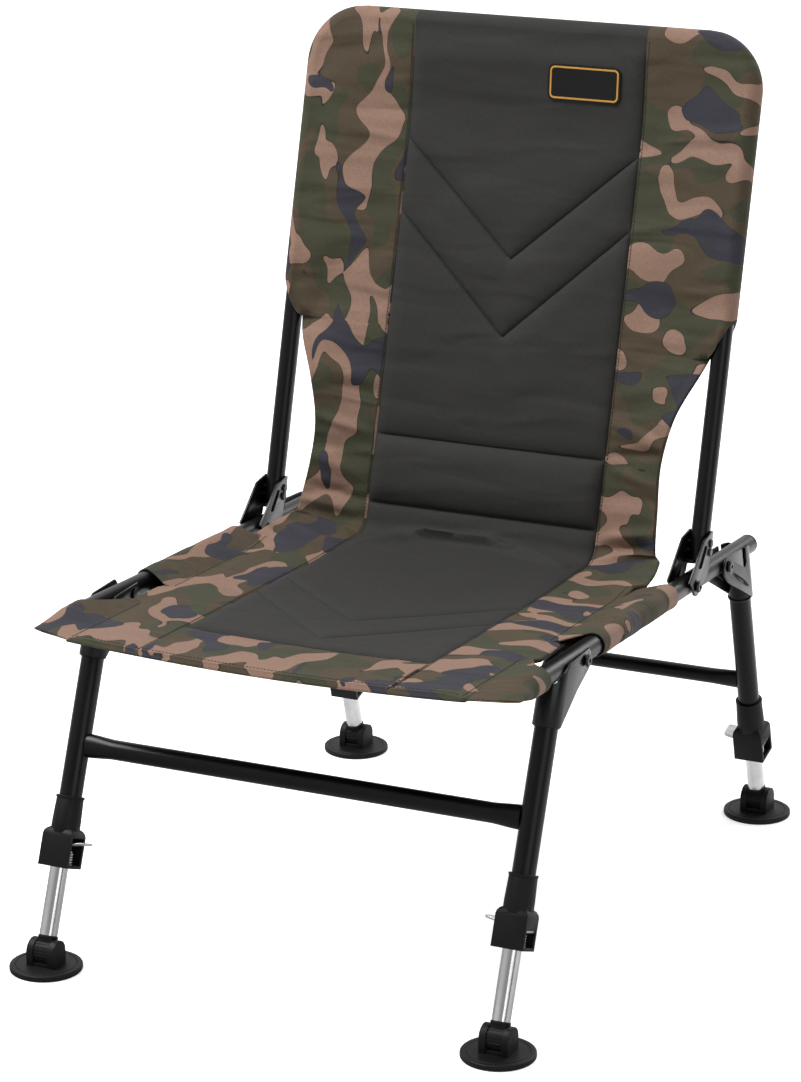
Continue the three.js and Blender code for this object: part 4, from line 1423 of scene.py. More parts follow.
    def rear(self, across: Array, along: Array) -> Array:
        """Offset of the lower and rear layer.

        Args:
            across: distance across from the middle.
            along: place along the sheet.

        Returns:
            The offset out of the sheet.
        """
        flare, _, crease = self.pulled(across, along, self.rear_border)
        pad = self.rear_pad * self.padding(across, along)
        return -self.fabric_half - flare - pad + self.rear_crease * crease - self.sag(across, along)

    def columns(self) -> Array:
        """(share of the panel, share of the side) of each column from the middle out.

        Returns:
            One row of two shares for each column.
        """
        panel = 1 - (1 - np.linspace(0, 1, self.panel_columns + 1)) ** 1.5
        side = (1 - np.cos(np.pi * np.linspace(0, 1, self.side_columns + 1)[1:])) / 2
        return np.array([*((each, 0) for each in panel), *((1, each) for each in side)])

    def rows(self) -> Array:
        """(place at the sides, place in the middle) of each row, closer by the seams.

        Returns:
            Two places for each row.
        """
        rows = []
        seams = self.seams()
        for (side, middle), (next_side, next_middle) in zip(seams, seams[1:]):
            span = max(next_side - side, next_middle - middle)
            count = max(4, round(span / self.row_spacing))
            even = np.arange(count) / count
            close = (1 - np.cos(np.pi * even)) / 2
            for share in self.row_evenness * even + (1 - self.row_evenness) * close:
                rows.append((side + share * (next_side - side), middle + share * (next_middle - middle)))
        rows.append(seams[-1])
        rows = np.array(rows)
        for step in (*self.front_sleeve, *self.rear_sleeve, self.sleeve_from):
            order = np.argsort(np.abs(rows[:, 0] - step))[:2]
            for row, shift in zip(sorted(order), (-0.4 * MM, 0.4 * MM)):
                rows[row, 0] = step + shift
        return rows

    def grid(self) -> tuple:
        """Across and along of every column and row of the sheet.

        Returns:
            Two arrays with a row for each row of the sheet.
        """
        shares = self.columns()
        inner, outer = shares[:, 0], shares[:, 1]
        across, along = [], []
        for side, middle in self.rows():
            place = middle + (side - middle) * inner
            half = float(self.half(np.array(side)))
            reach = inner * self.panel_half + outer * (half - self.panel_half)
            across.append(np.concatenate([-reach[:0:-1], reach]))
            along.append(np.concatenate([place[:0:-1], place]))
        return np.array(across), np.array(along)

    def outward(self, across: Array, along: Array) -> Array:
        """Direction out of the sheet's side edge at each row, in the sheet."""
        rise = np.clip(along - self.shoulder, 0, self.bend_radius) / self.bend_radius
        return np.stack([np.sign(across) * np.sqrt(1 - rise**2), rise], axis=-1)

    def build(self) -> Part:
        """Builds the sheet with its rolled edges.

        Returns:
            The cover.
        """
        across, along = self.grid()
        count_rows, count_columns = across.shape
        faces_out = self.front(across, along)
        faces_in = self.rear(across, along)
        ring_points, ring_map = [], []
        angles = np.linspace(0, math.pi, self.rim_steps + 1)[1:-1]
        turned_in = np.minimum(angles, math.pi - angles)
        drawn = along + self.mouth_lift(along, np.abs(across) - self.mouth_inset)

        def edge(column: int) -> tuple:
            """The rolled side edge at the end of each row: places and offsets by step.

            Args:
                column: the first or the last column.

            Returns:
                Distance across, place along and offset by row and step.
            """
            x, q = across[:, column], along[:, column]
            way = self.outward(x, q)
            radius = self.rim_radius(q)
            swing = radius[:, None] * np.sin(angles)
            reach = np.abs(x)[:, None] - self.mouth_inset + radius[:, None] * turned_in
            lift = self.mouth_lift(q[:, None], reach)
            return (
                x[:, None] + swing * way[:, :1],
                q[:, None] + swing * way[:, 1:] + lift,
                radius[:, None] * np.cos(angles) - self.sag(x, q)[:, None],
            )

        right, left = edge(-1), edge(0)
        for r in range(count_rows):
            xs = np.concatenate([across[r], right[0][r], across[r][::-1], left[0][r][::-1]])
            qs = np.concatenate([drawn[r], right[1][r], drawn[r][::-1], left[1][r][::-1]])
            outs = np.concatenate([faces_out[r], right[2][r], faces_in[r][::-1], left[2][r][::-1]])
            ring_points.append(self.point(xs, qs, outs))
            arc = np.concatenate([[0], np.cumsum(np.hypot(np.diff(xs), np.diff(outs)))]) + across[r][0]
            last = np.hypot(xs[-1] - xs[0], outs[-1] - outs[0])
            arc[-len(angles):] += across[r][0] - last - arc[-1]
            ring_map.append(np.column_stack([arc, qs]))
        ring = len(ring_points[0])
        points = list(np.concatenate(ring_points))
        uvs = list(np.concatenate(ring_map))
        faces, layers = [], []
        panel = self.panel_half + 0.1 * MM
        for r in range(count_rows - 1):
            for i in range(ring):
                k = (i + 1) % ring
                faces.append((r * ring + i, r * ring + k, (r + 1) * ring + k, (r + 1) * ring + i))
                upper = i < count_columns - 1
                lower = count_columns + len(angles) <= i < 2 * count_columns + len(angles) - 1
                column = i if upper else 2 * count_columns + len(angles) - 2 - i
                inside = (upper or lower) and abs(across[r][column] + across[r][column + 1]) / 2 < panel
                ahead = along[r][count_columns // 2] < self.front_seam - 0.1 * MM
                # Faces that close the open mouth of the tube's sleeve take the black lining: painted shade
                # for the dark opening round the tube.
                mouth = along[r][0] < self.sleeve_from < along[r + 1][0]
                if mouth and not ((upper or lower) and abs(across[r + 1][column]) < self.mouth_inset):
                    layers.append(Layer.LINING.value)
                elif inside and upper and not ahead:
                    layers.append(Layer.PANEL.value)
                elif inside and lower:
                    layers.append(Layer.LINING.value)
                else:
                    layers.append(Layer.CAMO.value)

        def close(r: int, way: float) -> None:
            """Rolls the front edge or the top edge of the sheet.

            Args:
                r: the row of the edge.
                way: the way out along the sheet.
            """
            radius = float(self.rim_radius(along[r, :1])[0])
            base = r * ring
            columns = [[base + i] for i in range(count_columns)]
            for i in range(count_columns):
                rear_index = base + 2 * count_columns + len(angles) - 1 - i
                if i in (0, count_columns - 1):
                    start = count_columns if i else ring - 1
                    step = 1 if i else -1
                    middle = [base + start + step * k for k in range(len(angles))]
                else:
                    middle = []
                    sag = float(self.sag(across[r, i], along[r, i]))
                    for angle in angles:
                        q = along[r, i] + way * radius * math.sin(angle)
                        out = radius * math.cos(angle) - sag
                        middle.append(len(points))
                        points.append(self.point(across[r, i], q, out)[0])
                        uvs.append(np.array([across[r, i], along[r, i] + way * radius * angle]))
                columns[i] += [*middle, rear_index]
            for i in range(count_columns - 1):
                inside = abs(across[r][i] + across[r][i + 1]) / 2 < panel and way > 0
                near, far = columns[i], columns[i + 1]
                for k in range(len(near) - 1):
                    faces.append((near[k], far[k], far[k + 1], near[k + 1]))
                    layers.append(Layer.PANEL.value if inside else Layer.CAMO.value)

        close(0, -1)
        close(count_rows - 1, 1)
        part = Part.drawn("sling_cover", points, faces)
        mesh = part.object.data
        write_cloth_map(mesh, np.array(uvs))
        for material in (self.palette.camo, self.palette.panel, self.palette.lining):
            mesh.materials.append(material)
        mesh.polygons.foreach_set("material_index", layers)
        return part.turned_out().smoothed(70)


@dataclass
class SeatSleeves(Maker):
    """Four sleeves that hold the seat on the rails, each a strip sewn along its root, with open ends."""

    cover: SlingCover
    cloth: float = 1.1 * MM
    radius: float = 11.9 * MM
    root_rise: float = 1.3 * MM
    row_spacing: float = 3.6 * MM
    straight_steps: int = 8
    round_steps: int = 18
    overlap: float = 3 * MM
    taper: tuple = ((-106 * MM, 0.9), (-76 * MM, 1.0))
    flat_top: float = 0.05
    flat_foot: float = 0.08
    front_slant: float = 19 * MM
    front_mouth: float = -52 * MM
    rear_mouth: float = 16 * MM
    mouth_span: tuple = (0.2, 0.9)
    ripples: tuple = ((0.02, 9 * MM, 0), (0.015, 5.3 * MM, 1))

    def section(self) -> Array:
        """The strip's course round the rail, from its root above to its root below.

        Returns:
            Outward distance from the rail's line and height, in rows.
        """
        root = self.cover.sleeve_root - STANCE.half_track - self.overlap
        reach = math.hypot(root, self.root_rise)
        tangent = math.atan2(self.root_rise, root) - math.acos(self.radius / reach)
        touch = np.array([math.cos(tangent), math.sin(tangent)]) * self.radius
        straight = np.linspace(0, 1, self.straight_steps + 1)[:-1, None]
        upper = np.array([root, self.root_rise]) * (1 - straight) + touch * straight
        swing = np.linspace(tangent, -tangent, self.round_steps)
        round_part = self.radius * np.column_stack([np.cos(swing), np.sin(swing)])
        lower = upper[::-1] * (1, -1)
        return np.concatenate([upper, round_part, lower])

    def strip(self, side: Side, run: tuple, flat_front: bool) -> Part:
        """Builds one sleeve.

        Args:
            side: the side that it is on.
            run: its two ends along the rail, at its root.
            flat_front: whether it runs out flat beyond the rail to a slanted front edge.

        Returns:
            The sleeve with its cloth map.
        """
        section = self.section()
        rows = max(6, round((run[1] - run[0]) / self.row_spacing))
        arc = np.concatenate([[0], np.cumsum(np.hypot(*np.diff(section, axis=0).T))])
        outward = (section[:, 0] - section[0, 0]) / (self.radius - section[0, 0])
        low, high = self.mouth_span
        drawn = np.sin(np.pi / 2 * np.clip((outward - low) / (high - low), 0, 1))
        first = run[0] + (self.front_slant * outward if flat_front else self.rear_mouth * drawn)
        last = run[1] + self.front_mouth * drawn * flat_front
        across = side.value * (STANCE.half_track + section[:, 0])
        points, uvs = [], []
        for share in np.linspace(0, 1, rows + 1):
            places = first + share * (last - first)
            ripple = 1 + sum(high * np.sin(places / pitch + late) for high, pitch, late in self.ripples)
            heights = section[:, 1] * np.where(places > self.taper[1][0], ripple, 1)
            if flat_front:
                (end, end_share), (start, start_share) = self.taper
                full = np.interp(places, (end, start), (end_share, start_share))
                shut = np.clip((end - places) / (end - first), 0, 1)
                least = np.where(section[:, 1] > 0, self.flat_top, self.flat_foot)
                heights = heights * (full + (least - full) * shut)
            points.append(self.cover.point(across, places, heights))
            uvs.append(np.column_stack([side.value * (self.cover.sleeve_root + arc), places]))
        count = len(section)
        faces = [
            (r * count + i, r * count + i + 1, (r + 1) * count + i + 1, (r + 1) * count + i)
            for r in range(rows)
            for i in range(count - 1)
        ]
        part = Part.drawn(f"{side.label}_sleeve", np.concatenate(points), faces)
        write_cloth_map(part.object.data, np.concatenate(uvs))
        return part.modify("SOLIDIFY", thickness=self.cloth, offset=0).smoothed(50)

    def build(self, sheet: Part) -> None:
        """Builds the four sleeves and joins them to the sheet.

        Args:
            sheet: the cover's sheet.
        """
        strips = []
        for side in Side:
            for run, flat_front in ((self.cover.front_sleeve, True), (self.cover.rear_sleeve, False)):
                strips.append(self.strip(side, run, flat_front))
                strips[-1].object.data.materials.append(self.palette.camo)
        sheet.joined(*strips)


@dataclass
class Stitching(Maker):
    """Lines of thread sewn through the cover, one small lozenge for each stitch."""

    cover: SlingCover
    pitch: float = 3.6 * MM
    length: float = 2.5 * MM
    radius: float = 0.42 * MM
    seam_inset: float = 2.6 * MM
    root_inset: float = 3.5 * MM
    end_inset: float = 3 * MM
    lift: float = 0.25 * MM
    sides: int = 6
    lozenge: tuple = ((-1, 0.35), (-0.55, 1), (0.55, 1), (1, 0.35))

    def lines(self) -> list:
        """(across, along) of the points of each sewn line.

        Returns:
            The lines.
        """
        cover = self.cover
        lines = []
        share = np.linspace(0, 1, 60)
        for line_side, middle in cover.sewn()[:-1]:
            for way in (-1, 1):
                lines.append((way * share * cover.panel_half, middle + share * (line_side - middle)))
        long = np.linspace(cover.seat_front + 4 * MM, cover.top - 2 * MM, 500)
        for way in (-1, 1):
            lines.append((np.full(len(long), way * (cover.panel_half + self.seam_inset)), long))
        half = cover.seat_front_half - self.end_inset
        hem = np.linspace(-half, half, 100)
        lines.append((hem, np.full(len(hem), cover.seat_front + cover.hem_width)))
        for way in (-1, 1):
            for start, end in (cover.front_sleeve, cover.rear_sleeve):
                along = np.linspace(start + self.end_inset, end - self.end_inset, 60)
                lines.append((np.full(len(along), way * (cover.sleeve_root - self.root_inset)), along))
        return lines

    def build(self) -> Part:
        """Builds all stitches as one piece.

        Returns:
            The stitches.
        """
        count = self.sides
        angles = np.arange(count) * 2 * math.pi / count
        points, faces = [], []
        for across, along in self.lines():
            out = self.cover.front(across, along) + self.lift
            path = self.cover.point(across, along, out)
            arc = np.concatenate([[0], np.cumsum(np.linalg.norm(np.diff(path, axis=0), axis=1))])
            for start in np.arange(self.pitch / 2, arc[-1] - self.length, self.pitch):
                centre = np.array([np.interp(start, arc, path[:, k]) for k in range(3)])
                ahead = np.array([np.interp(start + self.length / 2, arc, path[:, k]) for k in range(3)])
                way = Vector(ahead - centre).normalized()
                aside = way.orthogonal().normalized()
                over = way.cross(aside)
                base = len(points)
                for reach, share in self.lozenge:
                    for angle in angles:
                        spoke = aside * math.cos(angle) + over * math.sin(angle)
                        place = Vector(centre) + way * (reach * self.length / 2)
                        points.append(place + spoke * (self.radius * share))
                last = len(points) - count
                for ring in range(base, last, count):
                    for i in range(count):
                        a, b = ring + i, ring + (i + 1) % count
                        faces.append((a, b, b + count, a + count))
                faces.append(tuple(base + i for i in reversed(range(count))))
                faces.append(tuple(last + i for i in range(count)))
        part = Part.drawn("stitching", points, faces)
        part.object.data.materials.append(self.palette.thread)
        return part.smoothed(60)


def write_cloth_map(mesh: bpy.types.Mesh, places: Array) -> None:
    """Writes the cloth map, in metres, from a place for each vertex.

    Args:
        mesh: the mesh.
        places: across and along of each vertex.
    """
    layer = mesh.uv_layers.new(name="cloth")
    index = np.zeros(len(mesh.loops), int)
    mesh.loops.foreach_get("vertex_index", index)
    layer.data.foreach_set("uv", places[index].astype(np.float32).ravel())


# Studio


@dataclass(frozen=True)
class Studio:
    """Camera, soft lights, floor and background."""

    azimuth: float = math.radians(25.16)
    elevation: float = math.radians(16.76)
    distance: float = 3667.45 * MM
    target: tuple = (0, -46.0 * MM, 375.45 * MM)
    focal_pixels: float = 3798.6
    image_height: float = 1082
    sensor: float = 36
    floor_half: float = 8
    lamps: tuple = (
        ("key", (-1.7, -0.9, 3.6), 2.0, 150),
        ("fill", (3.2, -2.6, 1.8), 2.6, 30),
        ("rim", (1.5, 3.0, 2.6), 2.0, 60),
    )
    ambient: float = 0.4
    # The front and left levels below, over the behind and beside ranges, are painted reflection: glossy rays
    # see floor and sky dimmer towards the front, and the floor dimmer to the left.
    front_glow: tuple = (0.3, 0.95)
    floor_glow: float = 0.62
    floor_shade: float = 0.86
    left_glow: float = 0.62
    floor_behind: tuple = (-0.5, 1.0)
    floor_beside: tuple = (-0.35, 0.1)
    floor_reach: tuple = (0.5, 2.4)
    sky_behind: tuple = (-0.2, 0.5)
    # Painted reflection bands round the chair, seen only by glossy rays: azimuth, inner and outer half width
    # in degrees, and depth. A positive depth paints a dark band, the negative one a bright band.
    flags: tuple = (
        (-60, 15, 75, -1.0),
        (56, 6, 26, 0.5),
        (81, 3, 11, 0.8),
        (112, 2, 8, 0.6),
        (-100, 6, 22, 0.5),
    )

    def put(self, name: str, data: bpy.types.ID, place: Vector) -> bpy.types.Object:
        """Puts a lamp or the camera in its place and aims it at the chair.

        Args:
            name: its name.
            data: the camera or lamp.
            place: where it stands.

        Returns:
            The new object.
        """
        made = bpy.data.objects.new(name, data)
        bpy.context.scene.collection.objects.link(made)
        made.location = place
        made.rotation_euler = (Vector(self.target) - place).to_track_quat("-Z", "Y").to_euler()
        return made

    def camera(self) -> None:
        """Sets the camera at the viewing angle of the photograph."""
        data = bpy.data.cameras.new("camera")
        data.sensor_fit = "VERTICAL"
        data.sensor_height = self.sensor
        data.lens = self.focal_pixels * self.sensor / self.image_height
        data.clip_end = 50
        turn = Matrix.Rotation(self.azimuth, 3, "Z") @ Matrix.Rotation(-self.elevation, 3, "X")
        place = Vector(self.target) + turn @ Vector((0, -self.distance, 0))
        bpy.context.scene.camera = self.put("camera", data, place)

    def lamp(self, name: str, place: Sequence[float], size: float, power: float) -> None:
        """Adds a soft square lamp of a given side in metres and power in watts.

        Args:
            name: the lamp's name.
            place: where it stands.
            size: its side in metres.
            power: its power in watts.
        """
        data = bpy.data.lights.new(name, "AREA")
        data.shape = "SQUARE"
        data.size = size
        data.energy = power
        self.put(name, data, Vector(place))

    def floor(self) -> None:
        """Lays a pale floor that keeps the shadow and reads white where it is lit. For glossy rays its
        colour and glow are painted dimmer towards the front and to the left, a painted reflection.
        """
        Part.clear()
        bpy.ops.mesh.primitive_plane_add(size=2 * self.floor_half)
        floor = Part("floor").object
        material = bpy.data.materials.new("pale_floor")
        material.use_nodes = True
        sheet = NodeSheet(material.node_tree)
        place = sheet.add("ShaderNodeTexCoord").outputs["Object"]
        across, ahead, _ = sheet.parts(place)
        far = sheet.add("ShaderNodeVectorMath", {0: place}, operation="LENGTH").outputs["Value"]
        rays = sheet.add("ShaderNodeLightPath").outputs
        # Painted reflection: glossy rays see the floor's colour and glow dimmer towards the front and to the
        # left.
        behind = sheet.ramp(ahead, *self.floor_behind, self.front_glow[0], 1)
        shown = sheet.math("MULTIPLY", behind, sheet.ramp(across, *self.floor_beside, self.left_glow, 1))
        painted_reflection_loss = sheet.math("MULTIPLY", rays["Is Glossy Ray"], sheet.math("SUBTRACT", 1, shown))
        painted_reflection_share = sheet.math("SUBTRACT", 1, painted_reflection_loss)
        strength = sheet.math("MULTIPLY", sheet.ramp(far, *self.floor_reach, self.floor_glow, 1.0), painted_reflection_share)
        pale = {"Roughness": 0.9, "Base Color": sheet.math("MULTIPLY", painted_reflection_share, self.floor_shade)}
        shader = sheet.add("ShaderNodeBsdfPrincipled", pale)
        glow = sheet.add("ShaderNodeEmission", {"Color": (1, 1, 1, 1), "Strength": strength})
        dark = sheet.add("ShaderNodeEmission", {"Strength": 0})
        seen = sheet.math("MAXIMUM", rays["Is Camera Ray"], rays["Is Glossy Ray"])
        pick = sheet.add("ShaderNodeMixShader", {0: seen, 1: dark.outputs[0], 2: glow.outputs[0]})
        both = sheet.add("ShaderNodeAddShader", {0: shader.outputs[0], 1: pick.outputs[0]})
        sheet.add("ShaderNodeOutputMaterial", {0: both.outputs[0]})
        floor.data.materials.append(material)

    def world(self) -> None:
        """A soft sky that shows white behind the chair. Glossy rays see it painted dimmer towards the front
        and in bands round it, one band brighter, a painted reflection.
        """
        world = bpy.data.worlds.new("studio")
        bpy.context.scene.world = world
        world.use_nodes = True
        sheet = NodeSheet(world.node_tree)
        rays = sheet.add("ShaderNodeLightPath").outputs
        glossy = rays["Is Glossy Ray"]
        seen = sheet.math("MAXIMUM", rays["Is Camera Ray"], glossy)
        strength = sheet.math("MULTIPLY_ADD", seen, 1 - self.ambient, self.ambient)
        across, ahead, _ = sheet.parts(sheet.add("ShaderNodeTexCoord").outputs["Generated"])
        # Painted reflection: glossy rays see the sky dimmer towards the front.
        behind = sheet.ramp(ahead, *self.sky_behind, *self.front_glow)
        painted_reflection_dim = sheet.math("MULTIPLY", glossy, sheet.math("SUBTRACT", 1, behind))
        strength = sheet.math("MULTIPLY", strength, sheet.math("SUBTRACT", 1, painted_reflection_dim))
        around = sheet.math("ARCTAN2", across, sheet.math("MULTIPLY", ahead, -1))
        # Painted reflection bands: dark bands, and one bright band, seen only by glossy rays.
        for middle, inner, outer, depth in self.flags:
            gap = sheet.math("ABSOLUTE", sheet.math("SUBTRACT", around, math.radians(middle)))
            reflection_band = sheet.ramp(gap, math.radians(inner), math.radians(outer), depth, 0)
            reflection_band = sheet.math("MULTIPLY", reflection_band, glossy)
            strength = sheet.math("MULTIPLY", strength, sheet.math("SUBTRACT", 1, reflection_band))
        background = sheet.add("ShaderNodeBackground", {"Color": (1, 1, 1, 1), "Strength": strength})
        sheet.add("ShaderNodeOutputWorld", {0: background.outputs[0]})

    def build(self) -> None:
        """Sets up the whole studio."""
        self.camera()
        for lamp in self.lamps:
            self.lamp(*lamp)
        self.floor()
        self.world()
        bpy.context.scene.view_settings.view_transform = "Standard"


# Frame of tubes, bolts and brackets


def local_span(node: str, matrix: Matrix) -> tuple:
    """The box of a node in a local frame.

    Args:
        node: the node's name.
        matrix: the local frame.

    Returns:
        The lowest and the highest corner.
    """
    inverse = matrix.inverted()
    points = np.array([inverse @ vertex.co for vertex in frame["nodes"][node].data.vertices])
    return Vector(points.min(0)), Vector(points.max(0))


@dataclass
class SideRails(Maker):
    """The two side rails with their plugs and the bolts through them."""

    radius: float = 10 * MM
    wall: float = 1.5 * MM
    plug_edge: float = 2.6 * MM
    head_radius: float = 6 * MM
    head_height: float = 3.5 * MM
    socket_radius: float = 2.6 * MM
    socket_depth: float = 1.6 * MM
    shank_radius: float = 2.9 * MM
    tail_radius: float = 5.4 * MM
    tail_height: float = 2 * MM

    def rail(self, side: Side) -> None:
        """Builds one rail with open ends.

        Args:
            side: the side of the chair.
        """
        name = f"{side.label}_rail"
        low, high = local_span(name, STANCE.rail_matrix)
        part = Part.tube(f"{name}_tube", self.radius, self.wall, low.y, high.y)
        part.placed(side.shift() @ REARWARD, STANCE.rail_matrix).smoothed()
        part.dressed(self.palette.tube, Finish.TUBE, "seat_frame", name)

    def plug(self, side: Side, end: str) -> None:
        """Builds the plug in one end of a rail: a domed head with a moulded centre mark.

        Args:
            side: the side of the chair.
            end: front or rear.
        """
        name = f"{side.label}_rail_{end}_cap"
        index, turn = (1, REARWARD) if end == "rear" else (0, FORWARD)
        nodes = (name, f"{side.label}_rail")
        tip, mouth = (local_span(node, STANCE.rail_matrix)[index].y for node in nodes)
        part = Part.rod(f"{name}_plug", self.radius, 0.3 * MM, abs(tip - mouth), 48)
        part.inset(lambda centre, normal: normal.z > 0.9, (self.radius * 0.62, 0), (0.4 * MM, -0.5 * MM))
        part.bevelled(self.plug_edge, 5, 60)
        part.placed(side.shift(mouth) @ turn, STANCE.rail_matrix).smoothed()
        part.dressed(self.palette.plastic, Finish.PLASTIC, "seat_frame", name)

    def bolt(self, side: Side, joint: str) -> None:
        """Builds a bolt across a rail: a domed head with a socket outside, a riveted tail inside.

        Args:
            side: the side of the chair.
            joint: front, back or rear.
        """
        name = f"{side.label}_{joint}_pivot_bolt"
        low, high = local_span(name, STANCE.rail_matrix)
        middle = (low + high) / 2
        inner, outer = sorted(abs(x) - STANCE.half_track for x in (low.x, high.x))
        head = Part.rod(f"{name}_steel", self.head_radius, outer - self.head_height, outer, 36)
        head.bevelled(2.6 * MM, 6, 60)
        head.inset(lambda centre, normal: normal.z > 0.95 and centre.z > outer - 0.1 * MM, (0.5 * MM, 0))
        depth = self.socket_depth
        head.without(Part.rod("socket", self.socket_radius, outer - depth, outer + depth, 6))
        shank_top = outer - self.head_height + 0.2 * MM
        shank = Part.rod("shank", self.shank_radius, inner + 0.2 * MM, shank_top, 24)
        tail = Part.rod("tail", self.tail_radius, inner, inner + self.tail_height, 32)
        tail.bevelled(0.9 * MM, 3, 60)
        outwards = Matrix.Rotation(side.value * math.pi / 2, 4, "Y")
        head.joined(shank, tail).placed(outwards, side.shift(middle.y, middle.z), STANCE.rail_matrix)
        head.smoothed(40)
        head.dressed(self.palette.bolt, Finish.BOLT, "seat_frame", name)

    def build(self) -> None:
        """Builds rails, plugs and bolts of both sides."""
        for side in Side:
            self.rail(side)
            for end in ("front", "rear"):
                self.plug(side, end)
            for joint in ("front", "back", "rear"):
                self.bolt(side, joint)


@dataclass
class BackTube(Maker):
    """The bent tube of the back, an upside-down U."""

    radius: float = 9.5 * MM
    wall: float = 1.2 * MM
    foot: float = 24 * MM
    sides: int = 40
    bend_steps: int = 16

    def build(self) -> None:
        """Extrudes and spins a ring along the U, then gives it a wall."""
        shoulder = STANCE.back_top - STANCE.back_bend
        straight = STANCE.half_track - STANCE.back_bend
        part = Part.ring("back_tube", self.radius, self.foot, self.sides)
        part.placed(Side.LEFT.shift(STANCE.back_offset))
        with part.editing("EDGE", True):
            self.draw(0, shoulder - self.foot)
            self.bend(-straight, shoulder)
            self.draw(2 * straight, 0)
            self.bend(straight, shoulder)
            self.draw(0, self.foot - shoulder)
        part.merged().modify("SOLIDIFY", thickness=self.wall, offset=-1)
        part.placed(STANCE.back_matrix).smoothed()
        part.dressed(self.palette.tube, Finish.TUBE, "back", "back_frame")

    def draw(self, across: float, up: float) -> None:
        """Draws the selected ring out straight."""
        bpy.ops.mesh.extrude_region_move(TRANSFORM_OT_translate={"value": (across, 0, up)})

    def bend(self, across: float, height: float) -> None:
        """Spins the selected ring a quarter turn about a bend's centre."""
        centre = (across, STANCE.back_offset, height)
        bpy.ops.mesh.spin(steps=self.bend_steps, angle=-math.pi / 2, center=centre, axis=(0, 1, 0))


@dataclass(frozen=True)
class LegSet:
    """Names, places and sizes that tell the front legs from the rear legs."""

    end: str
    matrix: Matrix
    leg_offset: float
    cross_drop: float
    cross_radius: float
    foot_way: int

    @property
    def body(self) -> str:
        """The body that the leg frame rides on."""
        return f"{self.end}_legs"


FRONT_LEGS = LegSet("front", STANCE.front_leg_matrix, -38.9 * MM, 150 * MM, 9.5 * MM, -1)
REAR_LEGS = LegSet("rear", STANCE.rear_leg_matrix, 54.9 * MM, 176 * MM, 8 * MM, 1)


@dataclass
class LegFrame(Maker):
    """Leg tubes, cross tube and inner legs of one end of the chair."""

    legs: LegSet
    radius: float = 11 * MM
    wall: float = 1.4 * MM
    inner_radius: float = 8.75 * MM
    flare_length: float = 34 * MM
    flare_rise: float = 2 * MM
    flare_draw: float = 1.6 * MM
    flare_steps: int = 8
    weld: float = 2.4 * MM

    def tubes(self, side: Side) -> None:
        """Builds an outer leg tube and its bright inner leg.

        Args:
            side: the side of the chair.
        """
        corner = f"{side.label}_{self.legs.end}"
        outer = ("leg_tube", self.radius, self.palette.tube, Finish.TUBE, self.legs.body)
        inner = ("inner_leg", self.inner_radius, self.palette.chrome, Finish.CHROME, f"{corner}_telescope")
        for kind, radius, material, finish, body in (outer, inner):
            name = f"{corner}_{kind}"
            low, high = local_span(name, self.legs.matrix)
            part = Part.tube(f"{name}_steel", radius, self.wall, low.z, high.z)
            part.placed(side.shift(self.legs.leg_offset), self.legs.matrix).smoothed()
            part.dressed(material, finish, body, name)

    def cross_tube(self) -> None:
        """Builds the cross tube, pressed taller and thinner towards its welded ends."""
        name = f"{self.legs.end}_cross_tube"
        end = STANCE.half_track - self.radius + 1.2 * MM
        part = Part.rod(f"{name}_steel", self.legs.cross_radius, -end, end, 48)
        steps = [self.flare_length * k / self.flare_steps for k in range(self.flare_steps)]
        for way in (-1, 1):
            for step in steps[1:]:
                part.sliced((0, 0, way * (end - step)), (0, 0, 1))
            for step in steps:
                tall, deep = self.flare(float(smooth_step(1 - step / self.flare_length, 0, 1)))
                place = way * (end - step)
                with part.editing("VERT"):
                    part.pick("vertices", lambda vertex: abs(vertex.co.z - place) < 0.05 * MM)
                    bpy.ops.transform.resize(value=(tall, deep, 1), center_override=(0, 0, place))
        part.joined(*(self.bead(way * end, way) for way in (-1, 1)))
        drop = Matrix.Translation((0, self.legs.leg_offset, -self.legs.cross_drop))
        part.placed(ACROSS, drop, self.legs.matrix).smoothed(50)
        part.dressed(self.palette.tube, Finish.TUBE, self.legs.body, name)

    def flare(self, share: float) -> tuple:
        """Stretch of the cross tube's section where its end is pressed, by share."""
        radius = self.legs.cross_radius
        return 1 + self.flare_rise * share / radius, 1 - self.flare_draw * share / radius

    def bead(self, place: float, way: int) -> Part:
        """A weld bead round one end of the cross tube, clinging to the leg tube.

        Args:
            place: the end's place on the tube.
            way: the side that it is on.

        Returns:
            The bead.
        """
        part = Part.weld(self.legs.cross_radius, self.weld / 2, 0.25 * MM, 17, self.flare(1))
        for vertex in part.object.data.vertices:
            vertex.co.z += way * (self.radius - math.sqrt(max(0, self.radius**2 - vertex.co.y**2)))
        return part.placed(Matrix.Translation((0, 0, place)))

    def build(self) -> None:
        """Builds the tubes of both sides and the cross tube."""
        for side in Side:
            self.tubes(side)
        self.cross_tube()


def formed(node: str, edge: float) -> Part:
    """A pressed or moulded piece from its node, with joined flat faces and rounded edges.

    Args:
        node: the node's name.
        edge: the radius of its edges.

    Returns:
        The new part, in the chair's space.
    """
    part = Part.of_mesh(f"{node}_form", frame["nodes"][node].data.copy()).merged()
    with part.editing(everything=True):
        bpy.ops.mesh.dissolve_limited(angle_limit=math.radians(0.5))
    return part.bevelled(edge, 2, 40)


